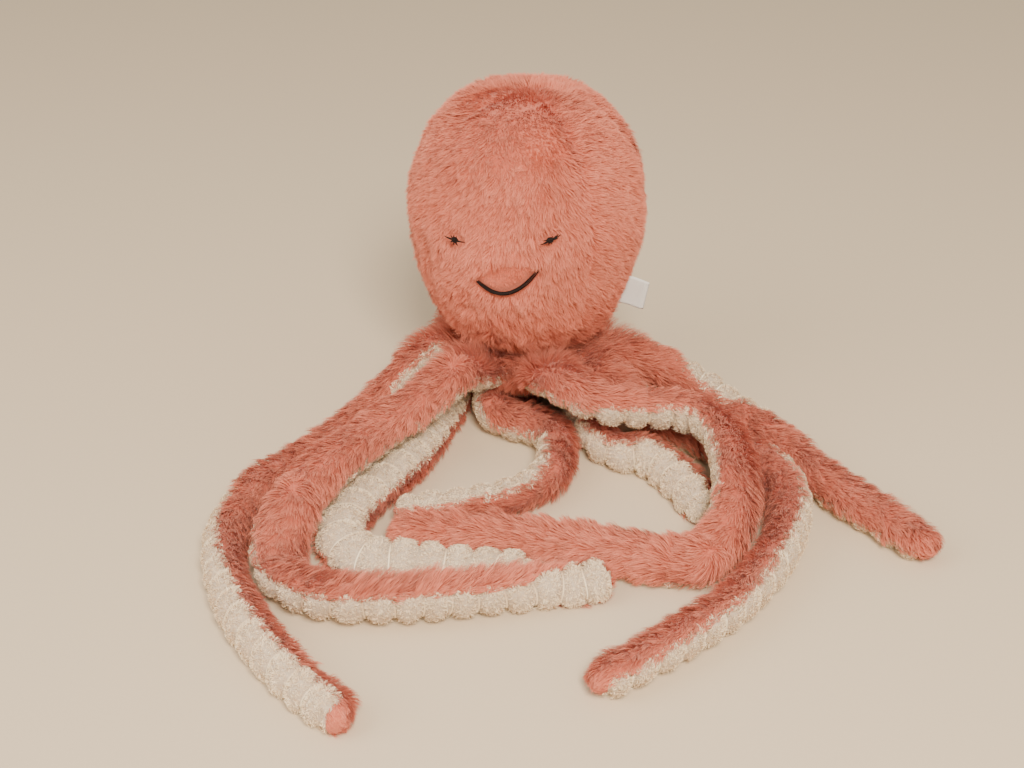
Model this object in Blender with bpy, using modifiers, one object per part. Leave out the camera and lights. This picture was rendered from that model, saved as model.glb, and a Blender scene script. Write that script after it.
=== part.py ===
"""Plush octopus: sewn head on a small round base, eight two-sided tentacles.

Metres, +Z up.  The toy stands on the plane z = 0 and the base is centred on
the Z axis.  The face looks towards -Y, turned 13 degrees towards -X.

Every tentacle is a long-pile top strip and a ribbed underside strip sewn
edge to edge round a light filling.  The three rear tentacles are folded
under the base and come out in front, as the toy sits.
"""
import math

import bmesh
import bpy
from mathutils import Matrix, Vector

MM = 0.001

# ---------------------------------------------------------------- dimensions
CLOTH = 1.6 * MM            # skin of the tentacles and head, backing and short pile
SEAM_GAP = 0.4 * MM         # left between touching pieces

HEAD_RADIUS = 61.0 * MM     # widest, over the cloth
HEAD_MID_Z = 119.0 * MM     # height of the widest ring
HEAD_TOP_Z = 185.0 * MM
HEAD_RIM_Z = 51.5 * MM      # lower rim of the head panels
HEAD_RIM_RADIUS = 30.0 * MM
NECK_BALL_Z = 44.6 * MM     # lowest point of the head, on the base
FACE_AZIMUTH = 257.0        # degrees, direction of the face seen from above
# the four head panels: middle and width in degrees, counted from the face
PANELS = (("head_front_panel", 0.0, 89.2), ("head_right_panel", 67.0, 43.8),
          ("head_back_panel", 180.0, 181.2), ("head_left_panel", -67.0, 43.8))

BASE_RADIUS = 33.0 * MM
BASE_LOW_Z = 22.3 * MM      # underside of the base disc
BASE_TOP_Z = 43.6 * MM
DISC_THICK = 1.6 * MM

ROOT_Z = 31.0 * MM          # middle of a tentacle where it is sewn to the base

# half width and half thickness of a tentacle along its length (0 root, 1 tip)
HALF_WIDTH = [(0.0, 10.4), (0.35, 10.9), (0.7, 9.8), (1.0, 8.8)]
HALF_THICK = [(0.0, 8.7), (0.35, 8.9), (0.7, 8.4), (1.0, 7.6)]

# Each tentacle: the route of its middle line in mm (z is raised where the
# tentacle would otherwise dip under the floor), the roll of its cream side in
# degrees at fractions of the length (0 = as it leaves the base, face down),
# and the fraction of the length where the free end starts.
TENTACLES = {
    1: dict(
        route=[(-34, -6, 31), (-50, -9, 33), (-64, -22, 28), (-81, -39, 17),
               (-109, -72, 8), (-136, -109, 8), (-149.5, -150, 8),
               (-139, -195, 8), (-112, -239, 8), (-79, -274, 8)],
        roll=[(0.0, 0), (0.06, 58), (0.13, 60), (0.25, 8), (0.38, 0), (0.52, -70),
              (0.7, -98), (1.0, -112)],
        split=0.50),
    2: dict(
        route=[(-20.5, -27.5, 33.5), (-25.5, -34, 34.5), (-36, -47, 42.5), (-55, -67, 37),
               (-80, -90, 30.5), (-103, -119, 28), (-116, -145, 22),
               (-121, -166, 14), (-115, -185, 8.5), (-95, -197, 8),
               (-60, -199, 8), (-10, -191, 8), (40, -180, 8)],
        roll=[(0.0, 0), (0.38, -5), (0.52, -42), (0.84, -52), (1.0, -140)],
        wide=[(0.0, 1.0), (0.36, 1.0), (0.55, 1.24), (0.78, 1.22), (0.92, 1.02), (1.0, 1.0)],
        split=0.62),
    3: dict(
        route=[(-29.5, 17, 31), (-36.5, 21.5, 31), (-43, 26, 28),
               (-45.8, 27, 20), (-44, 25, 11.5), (-41, 17, 8), (-42, -4, 8),
               (-47, -30, 8), (-54, -53, 8), (-61, -77, 8), (-73.5, -100.5, 8),
               (-88, -124, 8),
               (-93, -147, 8), (-82, -163.5, 8), (-52, -167.5, 8),
               (2, -173, 8)],
        roll=[(0.0, 0), (0.3, 0), (0.5, 18), (0.75, 12), (1.0, 0)],
        wide=[(0.0, 1.0), (0.5, 1.0), (0.66, 1.14), (0.8, 1.12), (0.92, 1.0), (1.0, 1.0)],
        fold=(-36.4, 21.4), split=0.865),
    4: dict(
        route=[(-8.8, 33, 31), (-10.5, 40, 31), (-12.5, 47.5, 28),
               (-13.3, 50.5, 20), (-12.3, 47, 11.5), (-9, 36, 8),
               (-3, 16, 8), (-1, 2, 8), (-8, -10, 8), (-17, -20, 8),
               (-20, -32, 8), (-12, -43, 8), (3, -49, 8), (14, -61, 8),
               (15, -82, 8), (7, -102, 8), (-10, -115, 8), (-38, -123, 8),
               (-67, -127, 8)],
        roll=[(0.0, 0), (0.325, 0), (0.475, 168), (0.55, 160), (0.645, 112),
              (0.79, 46), (1.0, 36)],
        fold=(-11.1, 42.0), split=0.80),
    5: dict(
        route=[(8.2, -33, 33.5), (9.8, -41, 36), (14.5, -54, 43), (23.5, -66, 43.5),
               (38, -73.5, 39.5), (59.5, -72, 35.5),
               (82, -72, 33), (98, -84, 31.5), (103, -107, 30),
               (102.5, -131, 28), (97, -155.5, 20.5), (81, -169, 11),
               (58, -166.5, 8), (28, -157, 8), (-4, -149, 8), (-34, -145, 8),
               (-69, -143.5, 8)],
        roll=[(0.0, 8), (0.10, 4), (0.17, -26), (0.28, -46), (0.5, -50), (0.67, -30),
              (0.85, -15), (1.0, -10)],
        wide=[(0.0, 1.0), (0.2, 1.0), (0.32, 1.13), (0.5, 1.10), (0.7, 1.06), (0.92, 1.0), (1.0, 1.0)],
        split=0.66),
    6: dict(
        route=[(26.3, -21.5, 31), (35.5, -28.5, 30), (48, -36, 24.5), (63, -42.5, 15),
               (79, -49, 9), (95, -59, 8), (110, -77, 8), (124.5, -97, 8), (132, -123, 8),
               (124.5, -157, 8), (101, -193.5, 8), (68.5, -224, 8), (27, -253, 8)],
        roll=[(0.0, 0), (0.3, 5), (0.42, 70), (0.62, 74), (0.8, 54), (1.0, 38)],
        wide=[(0.0, 1.0), (0.3, 1.0), (0.45, 1.22), (0.85, 1.24), (0.96, 1.06), (1.0, 1.0)],
        split=0.50),
    7: dict(
        route=[(34.1, -3, 31), (46.5, -4.6, 30), (64, -9, 27), (84, -15, 22),
               (101, -23, 16), (115, -36, 10), (126, -54, 8), (140, -78, 8), (166, -117, 8),
               (198, -158, 8)],
        roll=[(0.0, 0), (0.13, 45), (0.27, 138), (0.35, 136), (0.56, 14), (1.0, 0)],
        split=0.60),
    8: dict(
        route=[(16, 30, 31), (19.2, 36.5, 31), (22.6, 43.5, 28),
               (24.2, 46.5, 20), (23.2, 43, 11.5), (22.5, 34, 8),
               (24, 10, 8), (29, -20, 8), (33, -46, 8), (38.5, -63, 8),
               (49, -75, 8), (65, -81, 8), (78, -99, 8), (91, -128, 8)],
        roll=[(0.0, 0), (0.33, 0), (0.53, 125), (0.67, 116), (0.82, 64),
              (1.0, 45)],
        fold=(19.7, 37.1), split=0.60),
}

CORAL = (0.70, 0.22, 0.155, 1.0)
CREAM = (0.68, 0.58, 0.44, 1.0)
WHITE = (0.86, 0.85, 0.82, 1.0)
BROWN = (0.030, 0.013, 0.009, 1.0)
FIBRE = (0.88, 0.88, 0.86, 1.0)
BEADS = (0.80, 0.80, 0.78, 1.0)


# ------------------------------------------------------------------- helpers
def material(name, colour, roughness):
    found = bpy.data.materials.get(name)
    if found:
        return found
    made = bpy.data.materials.new(name)
    made.use_nodes = True
    shader = made.node_tree.nodes["Principled BSDF"]
    shader.inputs["Base Color"].default_value = colour
    shader.inputs["Roughness"].default_value = roughness
    shader.inputs["Metallic"].default_value = 0.0
    made.diffuse_color = colour
    return made


def add_mesh(name, collection, verts, faces, mat):
    mesh = bpy.data.meshes.new(name)
    mesh.from_pydata([tuple(v) for v in verts], [], faces)
    mesh.update()
    work = bmesh.new()
    work.from_mesh(mesh)
    bmesh.ops.recalc_face_normals(work, faces=work.faces)
    work.to_mesh(mesh)
    work.free()
    mesh.shade_smooth()
    mesh.set_sharp_from_angle(angle=math.radians(50))
    obj = bpy.data.objects.new(name, mesh)
    obj.data.materials.append(mat)
    collection.objects.link(obj)
    return obj


def smooth_value(table, u):
    """Value of a (fraction, value) table at u, eased between its entries."""
    if u <= table[0][0]:
        return table[0][1]
    for (u0, v0), (u1, v1) in zip(table, table[1:]):
        if u <= u1:
            t = (u - u0) / (u1 - u0)
            t = t * t * (3 - 2 * t)
            return v0 + (v1 - v0) * t
    return table[-1][1]


def catmull_rom(points, per_span=16):
    """Centripetal curve through the route's points."""
    pts = [Vector(p) for p in points]
    pts = [2 * pts[0] - pts[1]] + pts + [2 * pts[-1] - pts[-2]]
    out = []
    for i in range(1, len(pts) - 2):
        p0, p1, p2, p3 = pts[i - 1:i + 3]
        t0 = 0.0
        t1 = t0 + math.sqrt((p1 - p0).length)
        t2 = t1 + math.sqrt((p2 - p1).length)
        t3 = t2 + math.sqrt((p3 - p2).length)
        for k in range(per_span):
            t = t1 + (t2 - t1) * k / per_span
            a1 = p0.lerp(p1, (t - t0) / (t1 - t0))
            a2 = p1.lerp(p2, (t - t1) / (t2 - t1))
            a3 = p2.lerp(p3, (t - t2) / (t3 - t2))
            b1 = a1.lerp(a2, (t - t0) / (t2 - t0))
            b2 = a2.lerp(a3, (t - t1) / (t3 - t1))
            out.append(b1.lerp(b2, (t - t1) / (t2 - t1)))
    out.append(pts[-2])
    return out


def section(half_w, half_t):
    """Six corners of a tentacle section, cream side towards -v."""
    kx, kz = 0.64, 0.90
    return [(half_w, 0.0), (kx * half_w, kz * half_t), (-kx * half_w, kz * half_t),
            (-half_w, 0.0), (-kx * half_w, -kz * half_t), (kx * half_w, -kz * half_t)]


class Route:
    """A tentacle's middle line with its frame at any distance from the root."""

    def __init__(self, spec):
        line = [p * MM for p in catmull_rom(spec["route"])]
        step = 1.0 * MM
        # even spacing
        even, carry = [line[0]], 0.0
        for a, b in zip(line, line[1:]):
            seg = (b - a).length
            while carry + seg >= step:
                t = (step - carry) / seg
                a = a.lerp(b, t)
                even.append(a.copy())
                seg = (b - a).length
                carry = 0.0
            carry += seg
        self.points = even
        self.step = step
        self.length = step * (len(even) - 1)
        self.roll_table = spec["roll"]
        self.fold = spec.get("fold")
        self.wide_table = spec.get("wide", [(0.0, 1.0), (1.0, 1.0)])
        self.frames = self.transport()
        self.settle_on_floor()
        self.frames = self.transport()

    def tangent(self, i):
        a = self.points[max(i - 2, 0)]
        b = self.points[min(i + 2, len(self.points) - 1)]
        return (b - a).normalized()

    def transport(self):
        """Tangent, side and up vectors, with the roll of the cream side.

        Up points to the sky, except that a tentacle folded under the base
        turns over about the fold's centre and runs on with its cream side up.
        """
        outermost = 0
        if self.fold:
            centre = Vector((self.fold[0] * MM, self.fold[1] * MM, 20.0 * MM))
            radial = Vector((self.fold[0], self.fold[1], 0)).normalized()
            reach = [(p - centre).dot(radial) for p in self.points]
            outermost = reach.index(max(reach[:80]))
        frames = []
        for i, point in enumerate(self.points):
            tan = self.tangent(i)
            up = Vector((0, 0, 1))
            if self.fold:
                if reach[i] >= 0 and i < 90:
                    up = radial * reach[i] + Vector((0, 0, point.z - centre.z))
                elif i > outermost:
                    up = Vector((0, 0, -1))
            up = (up - tan * up.dot(tan)).normalized()
            roll = math.radians(smooth_value(self.roll_table, i / (len(self.points) - 1)))
            up = Matrix.Rotation(roll, 3, tan) @ up
            frames.append((tan, up.cross(tan).normalized(), up))
        return frames

    def sizes(self, i):
        u = i / (len(self.points) - 1)
        return (smooth_value(HALF_WIDTH, u) * smooth_value(self.wide_table, u) * MM,
                smooth_value(HALF_THICK, u) * MM)

    def settle_on_floor(self):
        """Lift the line wherever its section would reach under the floor."""
        low = []
        for i in range(len(self.points)):
            _, side, up = self.frames[i]
            hw, ht = self.sizes(i)
            low.append(max(-(x * side.z + z * up.z) for x, z in section(hw, ht)))
        for i, need in enumerate(low):
            if self.points[i].z < need:
                self.points[i].z = need
        # ease the height so that the line keeps no kink
        for _ in range(6):
            heights = [p.z for p in self.points]
            for i in range(1, len(heights) - 1):
                eased = (heights[i - 1] + heights[i] + heights[i + 1]) / 3
                self.points[i].z = max(eased, low[i])

    def at(self, s):
        """Point, tangent, side, up and half sizes at distance s."""
        f = min(max(s / self.step, 0.0), len(self.points) - 1.0)
        i = min(int(f), len(self.points) - 2)
        t = f - i
        p = self.points[i].lerp(self.points[i + 1], t)
        side = self.frames[i][1].lerp(self.frames[i + 1][1], t).normalized()
        up = self.frames[i][2].lerp(self.frames[i + 1][2], t).normalized()
        tan = self.frames[i][0].lerp(self.frames[i + 1][0], t).normalized()
        w0, t0 = self.sizes(i)
        w1, t1 = self.sizes(i + 1)
        return p, tan, side, up, w0 + (w1 - w0) * t, t0 + (t1 - t0) * t

    def stations(self, s0, s1, longest=20.0 * MM, bend=17.0):
        """Distances between s0 and s1, closer together in the bends."""
        out = [s0]
        last_tan, last_up = self.at(s0)[1], self.at(s0)[3]
        s = s0
        while s < s1:
            s = min(s + self.step, s1)
            _, tan, _, up, _, _ = self.at(s)
            turned = math.degrees(tan.angle(last_tan)) + 0.7 * math.degrees(up.angle(last_up))
            if s - out[-1] >= longest or (turned >= bend and s - out[-1] >= 4 * MM):
                if s1 - s > 3 * MM:
                    out.append(s)
                    last_tan, last_up = tan, up
        out.append(s1)
        return out


def tip_scale(left):
    """Shrinks a section over the last centimetre of a tentacle."""
    reach = 9.0 * MM
    if left >= reach:
        return 1.0
    return max(0.34, math.sqrt(max(0.0, 1 - ((reach - left) / reach) ** 2 * 0.89)))


def with_tip(stations, length):
    """Adds the stations that round the tip off."""
    kept = [s for s in stations if s <= length - 10 * MM]
    return kept + [length - 9 * MM, length - 4.5 * MM, length - 1.5 * MM, length]


def loft(rings, closed_ring):
    """One closed body from rings of points; closed_ring joins each end to end."""
    verts, faces = [], []
    n = len(rings[0])
    for ring in rings:
        verts += ring
    for k in range(len(rings) - 1):
        for j in range(n):
            a, b = k * n + j, k * n + (j + 1) % n
            if j < n // 2:     # both faces of a twisted wall split the same way
                faces += [(a, b, b + n), (a, b + n, a + n)]
            else:
                faces += [(a, b, a + n), (b, b + n, a + n)]
    first = list(range(n))
    last = [(len(rings) - 1) * n + j for j in range(n)]
    if closed_ring:            # a solid section: plain caps
        faces.append(tuple(reversed(first)))
        faces.append(tuple(last))
    else:                      # a band folded back on itself: caps in quads
        half = n // 2
        for j in range(half - 1):
            faces.append((first[j + 1], first[j], first[n - 1 - j], first[n - 2 - j]))
            faces.append((last[j], last[j + 1], last[n - 2 - j], last[n - 1 - j]))
    return verts, faces


def strip_rings(route, stations, upper, length):
    """Half of the tentacle's skin: outer corners, then inner corners back."""
    rings = []
    for s in stations:
        p, _, side, up, hw, ht = route.at(s)
        k = tip_scale(length - s)
        hw, ht = hw * k, ht * k
        skin = min(CLOTH, 0.45 * ht)
        lift = SEAM_GAP / 2
        sign = 1.0 if upper else -1.0
        outer = section(hw, ht)[:4]
        inner = section(hw - skin, ht - skin)[:4]
        ring = []
        for x, z in outer:
            ring.append(p + side * x + up * sign * max(z, lift))
        for x, z in reversed(inner):
            ring.append(p + side * x + up * sign * max(z, lift))
        for corner in ring:          # flat where it rests
            if corner.z < 0.25 * MM:
                corner.z = 0.0
        rings.append(ring)
    return rings


def filling_rings(route, stations):
    rings = []
    for s in stations:
        p, _, side, up, hw, ht = route.at(s)
        inset = CLOTH + SEAM_GAP
        rings.append([p + side * x + up * z
                      for x, z in section(hw - inset - 0.9 * MM, ht - inset - 1.0 * MM)])
    return rings


# --------------------------------------------------------------- head shape
def head_profile():
    """(radius, height) of the head's cloth from the crown down to the rim."""
    out = [(3.0 * MM, HEAD_TOP_Z)]
    for k in range(1, 8):
        a = math.radians(90 - 90 * k / 7)
        out.append((HEAD_RADIUS * math.cos(a) ** 0.84,
                    HEAD_MID_Z + (HEAD_TOP_Z - HEAD_MID_Z) * math.sin(a) ** 0.84))
    drop = HEAD_MID_Z - HEAD_RIM_Z
    for k in range(1, 7):
        t = k / 6
        z = HEAD_MID_Z - drop * math.sin(math.radians(90 * t)) ** 1.05
        f = (HEAD_MID_Z - z) / drop
        r = HEAD_RIM_RADIUS + (HEAD_RADIUS - HEAD_RIM_RADIUS) * (1 - f ** 2.2) ** (1 / 1.6)
        out.append((r, z))
    return out


def head_radius(z):
    prof = head_profile()
    for (r0, z0), (r1, z1) in zip(prof, prof[1:]):
        if z1 <= z <= z0:
            return r0 + (r1 - r0) * (z0 - z) / (z0 - z1)
    return HEAD_RIM_RADIUS


def head_point(azimuth, z, out=0.0):
    r = head_radius(z) + out
    a = math.radians(azimuth)
    return Vector((r * math.cos(a), r * math.sin(a), z))


def turned(name, collection, profile, mat, steps, closed=False):
    """A closed or hollow round piece: a profile of (radius, height) screwed
    about the Z axis."""
    mesh = bpy.data.meshes.new(name)
    verts = [(r, 0.0, z) for r, z in profile]
    edges = [(i, i + 1) for i in range(len(verts) - 1)]
    if closed:
        edges.append((len(verts) - 1, 0))
    mesh.from_pydata(verts, edges, [])
    obj = bpy.data.objects.new(name, mesh)
    collection.objects.link(obj)
    screw = obj.modifiers.new("Turn", "SCREW")
    screw.axis = "Z"
    screw.angle = math.radians(360.0)
    screw.steps = steps
    screw.render_steps = steps
    screw.use_merge_vertices = True
    screw.merge_threshold = 0.00005
    screw.use_normal_calculate = False
    screw.use_smooth_shade = True
    mesh.materials.append(mat)
    return obj


def gore(name, collection, profile, wall, mat, steps, start, span):
    """One panel of a round shell, with flat sides along its two seams.

    The profile and its inner offset make one closed outline, spun about the
    Z axis and closed with strips of quads at both ends.
    """
    inner = []
    for i, (r, z) in enumerate(profile):
        r0, z0 = profile[max(i - 1, 0)]
        r1, z1 = profile[min(i + 1, len(profile) - 1)]
        run = math.hypot(r1 - r0, z1 - z0)
        inner.append((max(r + wall * (z1 - z0) / run, 0.7 * profile[0][0]), z - wall * (r1 - r0) / run))
    outline = [(r, 0.0, z) for r, z in profile + inner[::-1]]
    work = bmesh.new()
    ring = [work.verts.new(v) for v in outline]
    edges = [work.edges.new((ring[i], ring[(i + 1) % len(ring)])) for i in range(len(ring))]
    wide = len(profile)
    turned_by = Matrix.Rotation(math.radians(span), 3, "Z")
    ends = [turned_by @ v.co for v in ring]
    for i in range(wide - 1):          # the flat side at the first seam, in strips
        work.faces.new((ring[i], ring[i + 1], ring[2 * wide - 2 - i], ring[2 * wide - 1 - i]))
    spun = bmesh.ops.spin(work, geom=ring + edges, cent=(0, 0, 0), axis=(0, 0, 1), dvec=(0, 0, 0),
                          angle=math.radians(span), steps=steps, use_duplicate=False)
    last = [g for g in spun["geom_last"] if isinstance(g, bmesh.types.BMVert)]
    far = [min(last, key=lambda v: (v.co - end).length) for end in ends]
    for i in range(wide - 1):          # and at the other seam
        work.faces.new((far[i], far[i + 1], far[2 * wide - 2 - i], far[2 * wide - 1 - i]))
    bmesh.ops.recalc_face_normals(work, faces=work.faces)
    mesh = bpy.data.meshes.new(name)
    work.to_mesh(mesh)
    work.free()
    mesh.shade_smooth()
    mesh.set_sharp_from_angle(angle=math.radians(40))
    obj = bpy.data.objects.new(name, mesh)
    obj.rotation_euler = (0, 0, math.radians(start))
    mesh.materials.append(mat)
    collection.objects.link(obj)
    return obj


# --------------------------------------------------------------------- build
def build_head(col, mats):
    prof = head_profile()
    for name, middle, span in PANELS:
        start = FACE_AZIMUTH + middle - span / 2
        gore(name, col, prof, CLOTH, mats["coral"], round(span / 15.0), start, span)

    inset = CLOTH + 7 * SEAM_GAP
    stuff = [(0.0, HEAD_TOP_Z - inset)]
    for (r, z) in prof[1:-2]:
        reach = HEAD_TOP_Z - HEAD_MID_Z if z > HEAD_MID_Z else HEAD_MID_Z - HEAD_RIM_Z
        stuff.append((max(r - inset, 2 * MM), HEAD_MID_Z + (z - HEAD_MID_Z) * (1 - inset / reach)))
    stuff += [(HEAD_RIM_RADIUS + 6.0 * MM, HEAD_RIM_Z + 5.5 * MM),
              (HEAD_RIM_RADIUS - 3.0 * MM, HEAD_RIM_Z + 1.2 * MM),
              (HEAD_RIM_RADIUS - 6.0 * MM, HEAD_RIM_Z - 1.6 * MM),
              (10 * MM, NECK_BALL_Z + 1.4 * MM),
              (0.0, NECK_BALL_Z)]
    turned("head_stuffing", col, stuff, mats["fibre"], 14)

    # stitched eyes: small flattened knots of thread on the face panel
    for name, az, z in (("eye_left", EYES[0][0], EYES[0][1]), ("eye_right", EYES[1][0], EYES[1][1])):
        at = head_point(az, z, 1.5 * MM)
        slope = (head_point(az, z + 2 * MM) - head_point(az, z - 2 * MM)).normalized()
        across = Vector((-math.sin(math.radians(az)), math.cos(math.radians(az)), 0))
        normal = across.cross(slope).normalized()
        bpy.ops.mesh.primitive_uv_sphere_add(segments=10, ring_count=6, radius=1.0)
        eye = bpy.context.object
        eye.name = name
        eye.data.name = name
        turn = Matrix((across, normal, slope)).transposed().to_4x4()
        eye.data.transform(Matrix.Diagonal((2.5 * MM, 1.05 * MM, 1.6 * MM, 1.0)))
        eye.matrix_world = Matrix.Translation(at) @ turn
        eye.data.materials.append(mats["brown"])
        move_to(eye, col)

    # stitched smile: a thick thread line that follows the head
    curve = bpy.data.curves.new("mouth", "CURVE")
    curve.dimensions = "3D"
    curve.bevel_depth = 0.95 * MM
    curve.bevel_resolution = 1
    curve.use_fill_caps = True
    curve.resolution_u = 1
    line = curve.splines.new("POLY")
    count = 11
    line.points.add(count - 1)
    for k in range(count):
        t = k / (count - 1)
        az = MOUTH_AZ[0] + (MOUTH_AZ[1] - MOUTH_AZ[0]) * t
        z = MOUTH_Z[0] + (MOUTH_Z[1] - MOUTH_Z[0]) * t - MOUTH_DROP * (1 - (2 * t - 1) ** 2)
        line.points[k].co = (*head_point(az, z, 1.45 * MM), 1.0)
    smile = bpy.data.objects.new("mouth", curve)
    smile.data.materials.append(mats["brown"])
    col.objects.link(smile)

    # plain sewn label: a folded ribbon standing out of the right-hand seam
    width, reach, thick = 17.5 * MM, 12.5 * MM, 0.9 * MM
    work = bmesh.new()
    bmesh.ops.create_cube(work, size=1.0)
    bmesh.ops.scale(work, vec=(reach, thick, width), verts=work.verts)
    bmesh.ops.translate(work, vec=(reach / 2, 0, 0), verts=work.verts)
    mesh = bpy.data.meshes.new("side_label")
    work.to_mesh(mesh)
    work.free()
    label = bpy.data.objects.new("side_label", mesh)
    label.location = head_point(LABEL_AZ, LABEL_Z, LABEL_OUT)
    label.rotation_euler = (0, math.radians(LABEL_TILT), math.radians(LABEL_AZ - 4))
    soft = label.modifiers.new("Edge", "BEVEL")
    soft.width = 0.25 * MM
    soft.segments = 1
    mesh.materials.append(mats["white"])
    col.objects.link(label)


def move_to(obj, col):
    for old in list(obj.users_collection):
        old.objects.unlink(obj)
    col.objects.link(obj)


# places on the head: azimuth in degrees seen from above, height in metres
EYES = ((234.7, 124.5 * MM), (279.9, 129.5 * MM))
MOUTH_AZ = (245.2, 275.2)
MOUTH_Z = (104.0 * MM, 113.5 * MM)
MOUTH_DROP = 10.2 * MM
LABEL_AZ = 346.0
LABEL_Z = 76.0 * MM
LABEL_OUT = 2.2 * MM
LABEL_TILT = 10.0


def build_base(col, mats):
    # bottom disc, on the three tentacles folded under it
    profile = [(0.0, BASE_LOW_Z + DISC_THICK), (BASE_RADIUS - 2.4 * MM, BASE_LOW_Z + DISC_THICK),
               (BASE_RADIUS - 1.6 * MM, BASE_LOW_Z + 0.8 * MM), (BASE_RADIUS - 2.4 * MM, BASE_LOW_Z),
               (0.0, BASE_LOW_Z)]
    turned("base_disc", col, profile, mats["cream"], 20)
    # round wall that the tentacles are sewn to
    low = BASE_LOW_Z + DISC_THICK + SEAM_GAP
    top = BASE_TOP_Z
    wall = [(BASE_RADIUS - 6.5 * MM, top), (BASE_RADIUS - 1.6 * MM, top - 1.4 * MM),
            (BASE_RADIUS, top - 5.0 * MM), (BASE_RADIUS, low + 2.5 * MM),
            (BASE_RADIUS - 1.0 * MM, low), (BASE_RADIUS - 2.6 * MM, low),
            (BASE_RADIUS - CLOTH, low + 2.5 * MM), (BASE_RADIUS - CLOTH, top - 5.6 * MM),
            (BASE_RADIUS - 2.9 * MM, top - 2.8 * MM), (BASE_RADIUS - 6.5 * MM, top - 1.6 * MM)]
    turned("base_band", col, wall, mats["coral"], 20, closed=True)
    # bag of beads that weights the base
    bag = [(0.0, top - 1.2 * MM), (14 * MM, top - 2.4 * MM), (24 * MM, top - 6.5 * MM),
           (29.0 * MM, 32.0 * MM), (27.5 * MM, low + 2.5 * MM), (22 * MM, low), (0.0, low)]
    turned("bead_bag", col, bag, mats["beads"], 14)


def build_tentacle(number, spec, col, mats):
    route = Route(spec)
    length = route.length
    split = spec["split"] * length
    gap = 0.35 * MM
    base = "tentacle_%d_" % number
    for part, s0, s1 in (("root", 0.0, split - gap), ("end", split + gap, length)):
        stations = route.stations(s0, s1)
        if part == "end":
            stations = with_tip(stations, length)
        for kind, upper, mat in (("top", True, "coral"), ("underside", False, "cream")):
            verts, faces = loft(strip_rings(route, stations, upper, length), False)
            add_mesh(base + kind + "_" + part, col, verts, faces, mats[mat])
        stations[0] += 0.6 * MM
        if part == "root":
            stations[-1] -= 0.6 * MM
        else:
            stations = stations[:-3]
        verts, faces = loft(filling_rings(route, stations), True)
        add_mesh(base + "filling_" + part, col, verts, faces, mats["fibre"])
    return route


def main():
    for old in list(bpy.data.objects):
        bpy.data.objects.remove(old, do_unlink=True)
    col = bpy.data.collections.new("plush_octopus")
    bpy.context.scene.collection.children.link(col)
    mats = {
        "coral": material("coral_long_pile", CORAL, 0.95),
        "cream": material("cream_ribbed_chenille", CREAM, 0.95),
        "white": material("label_ribbon", WHITE, 0.6),
        "brown": material("brown_thread", BROWN, 0.55),
        "fibre": material("fibre_filling", FIBRE, 0.95),
        "beads": material("bead_filling", BEADS, 0.7),
    }
    build_base(col, mats)
    build_head(col, mats)
    routes = {}
    for number, spec in TENTACLES.items():
        routes[number] = build_tentacle(number, spec, col, mats)
    return routes


ROUTES = main()
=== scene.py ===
"""Looks of the plush octopus: sewn cloth, long coral pile and ribbed chenille.

Every soft piece is a stuffed skin that follows the frame's solids, with its
pile grown on it as real strands: tapered strips of mesh, combed along a flow
field and pulled together into locks.
"""
import math

import bpy
import numpy as np
from mathutils import Matrix, Vector


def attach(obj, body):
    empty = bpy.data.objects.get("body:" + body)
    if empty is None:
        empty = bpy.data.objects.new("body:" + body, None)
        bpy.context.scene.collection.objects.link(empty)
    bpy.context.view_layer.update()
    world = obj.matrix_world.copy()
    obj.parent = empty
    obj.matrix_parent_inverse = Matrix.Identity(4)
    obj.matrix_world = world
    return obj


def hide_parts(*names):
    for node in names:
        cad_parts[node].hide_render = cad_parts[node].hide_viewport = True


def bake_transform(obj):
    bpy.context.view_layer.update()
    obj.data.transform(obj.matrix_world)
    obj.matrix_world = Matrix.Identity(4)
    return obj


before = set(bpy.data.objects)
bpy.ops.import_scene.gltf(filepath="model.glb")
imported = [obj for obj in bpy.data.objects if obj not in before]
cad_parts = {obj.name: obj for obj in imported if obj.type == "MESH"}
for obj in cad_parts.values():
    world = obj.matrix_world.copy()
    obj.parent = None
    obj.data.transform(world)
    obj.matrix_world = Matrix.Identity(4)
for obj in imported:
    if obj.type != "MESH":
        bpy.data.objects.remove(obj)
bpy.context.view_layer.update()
MM = 0.001
rng = np.random.default_rng(20)

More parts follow.
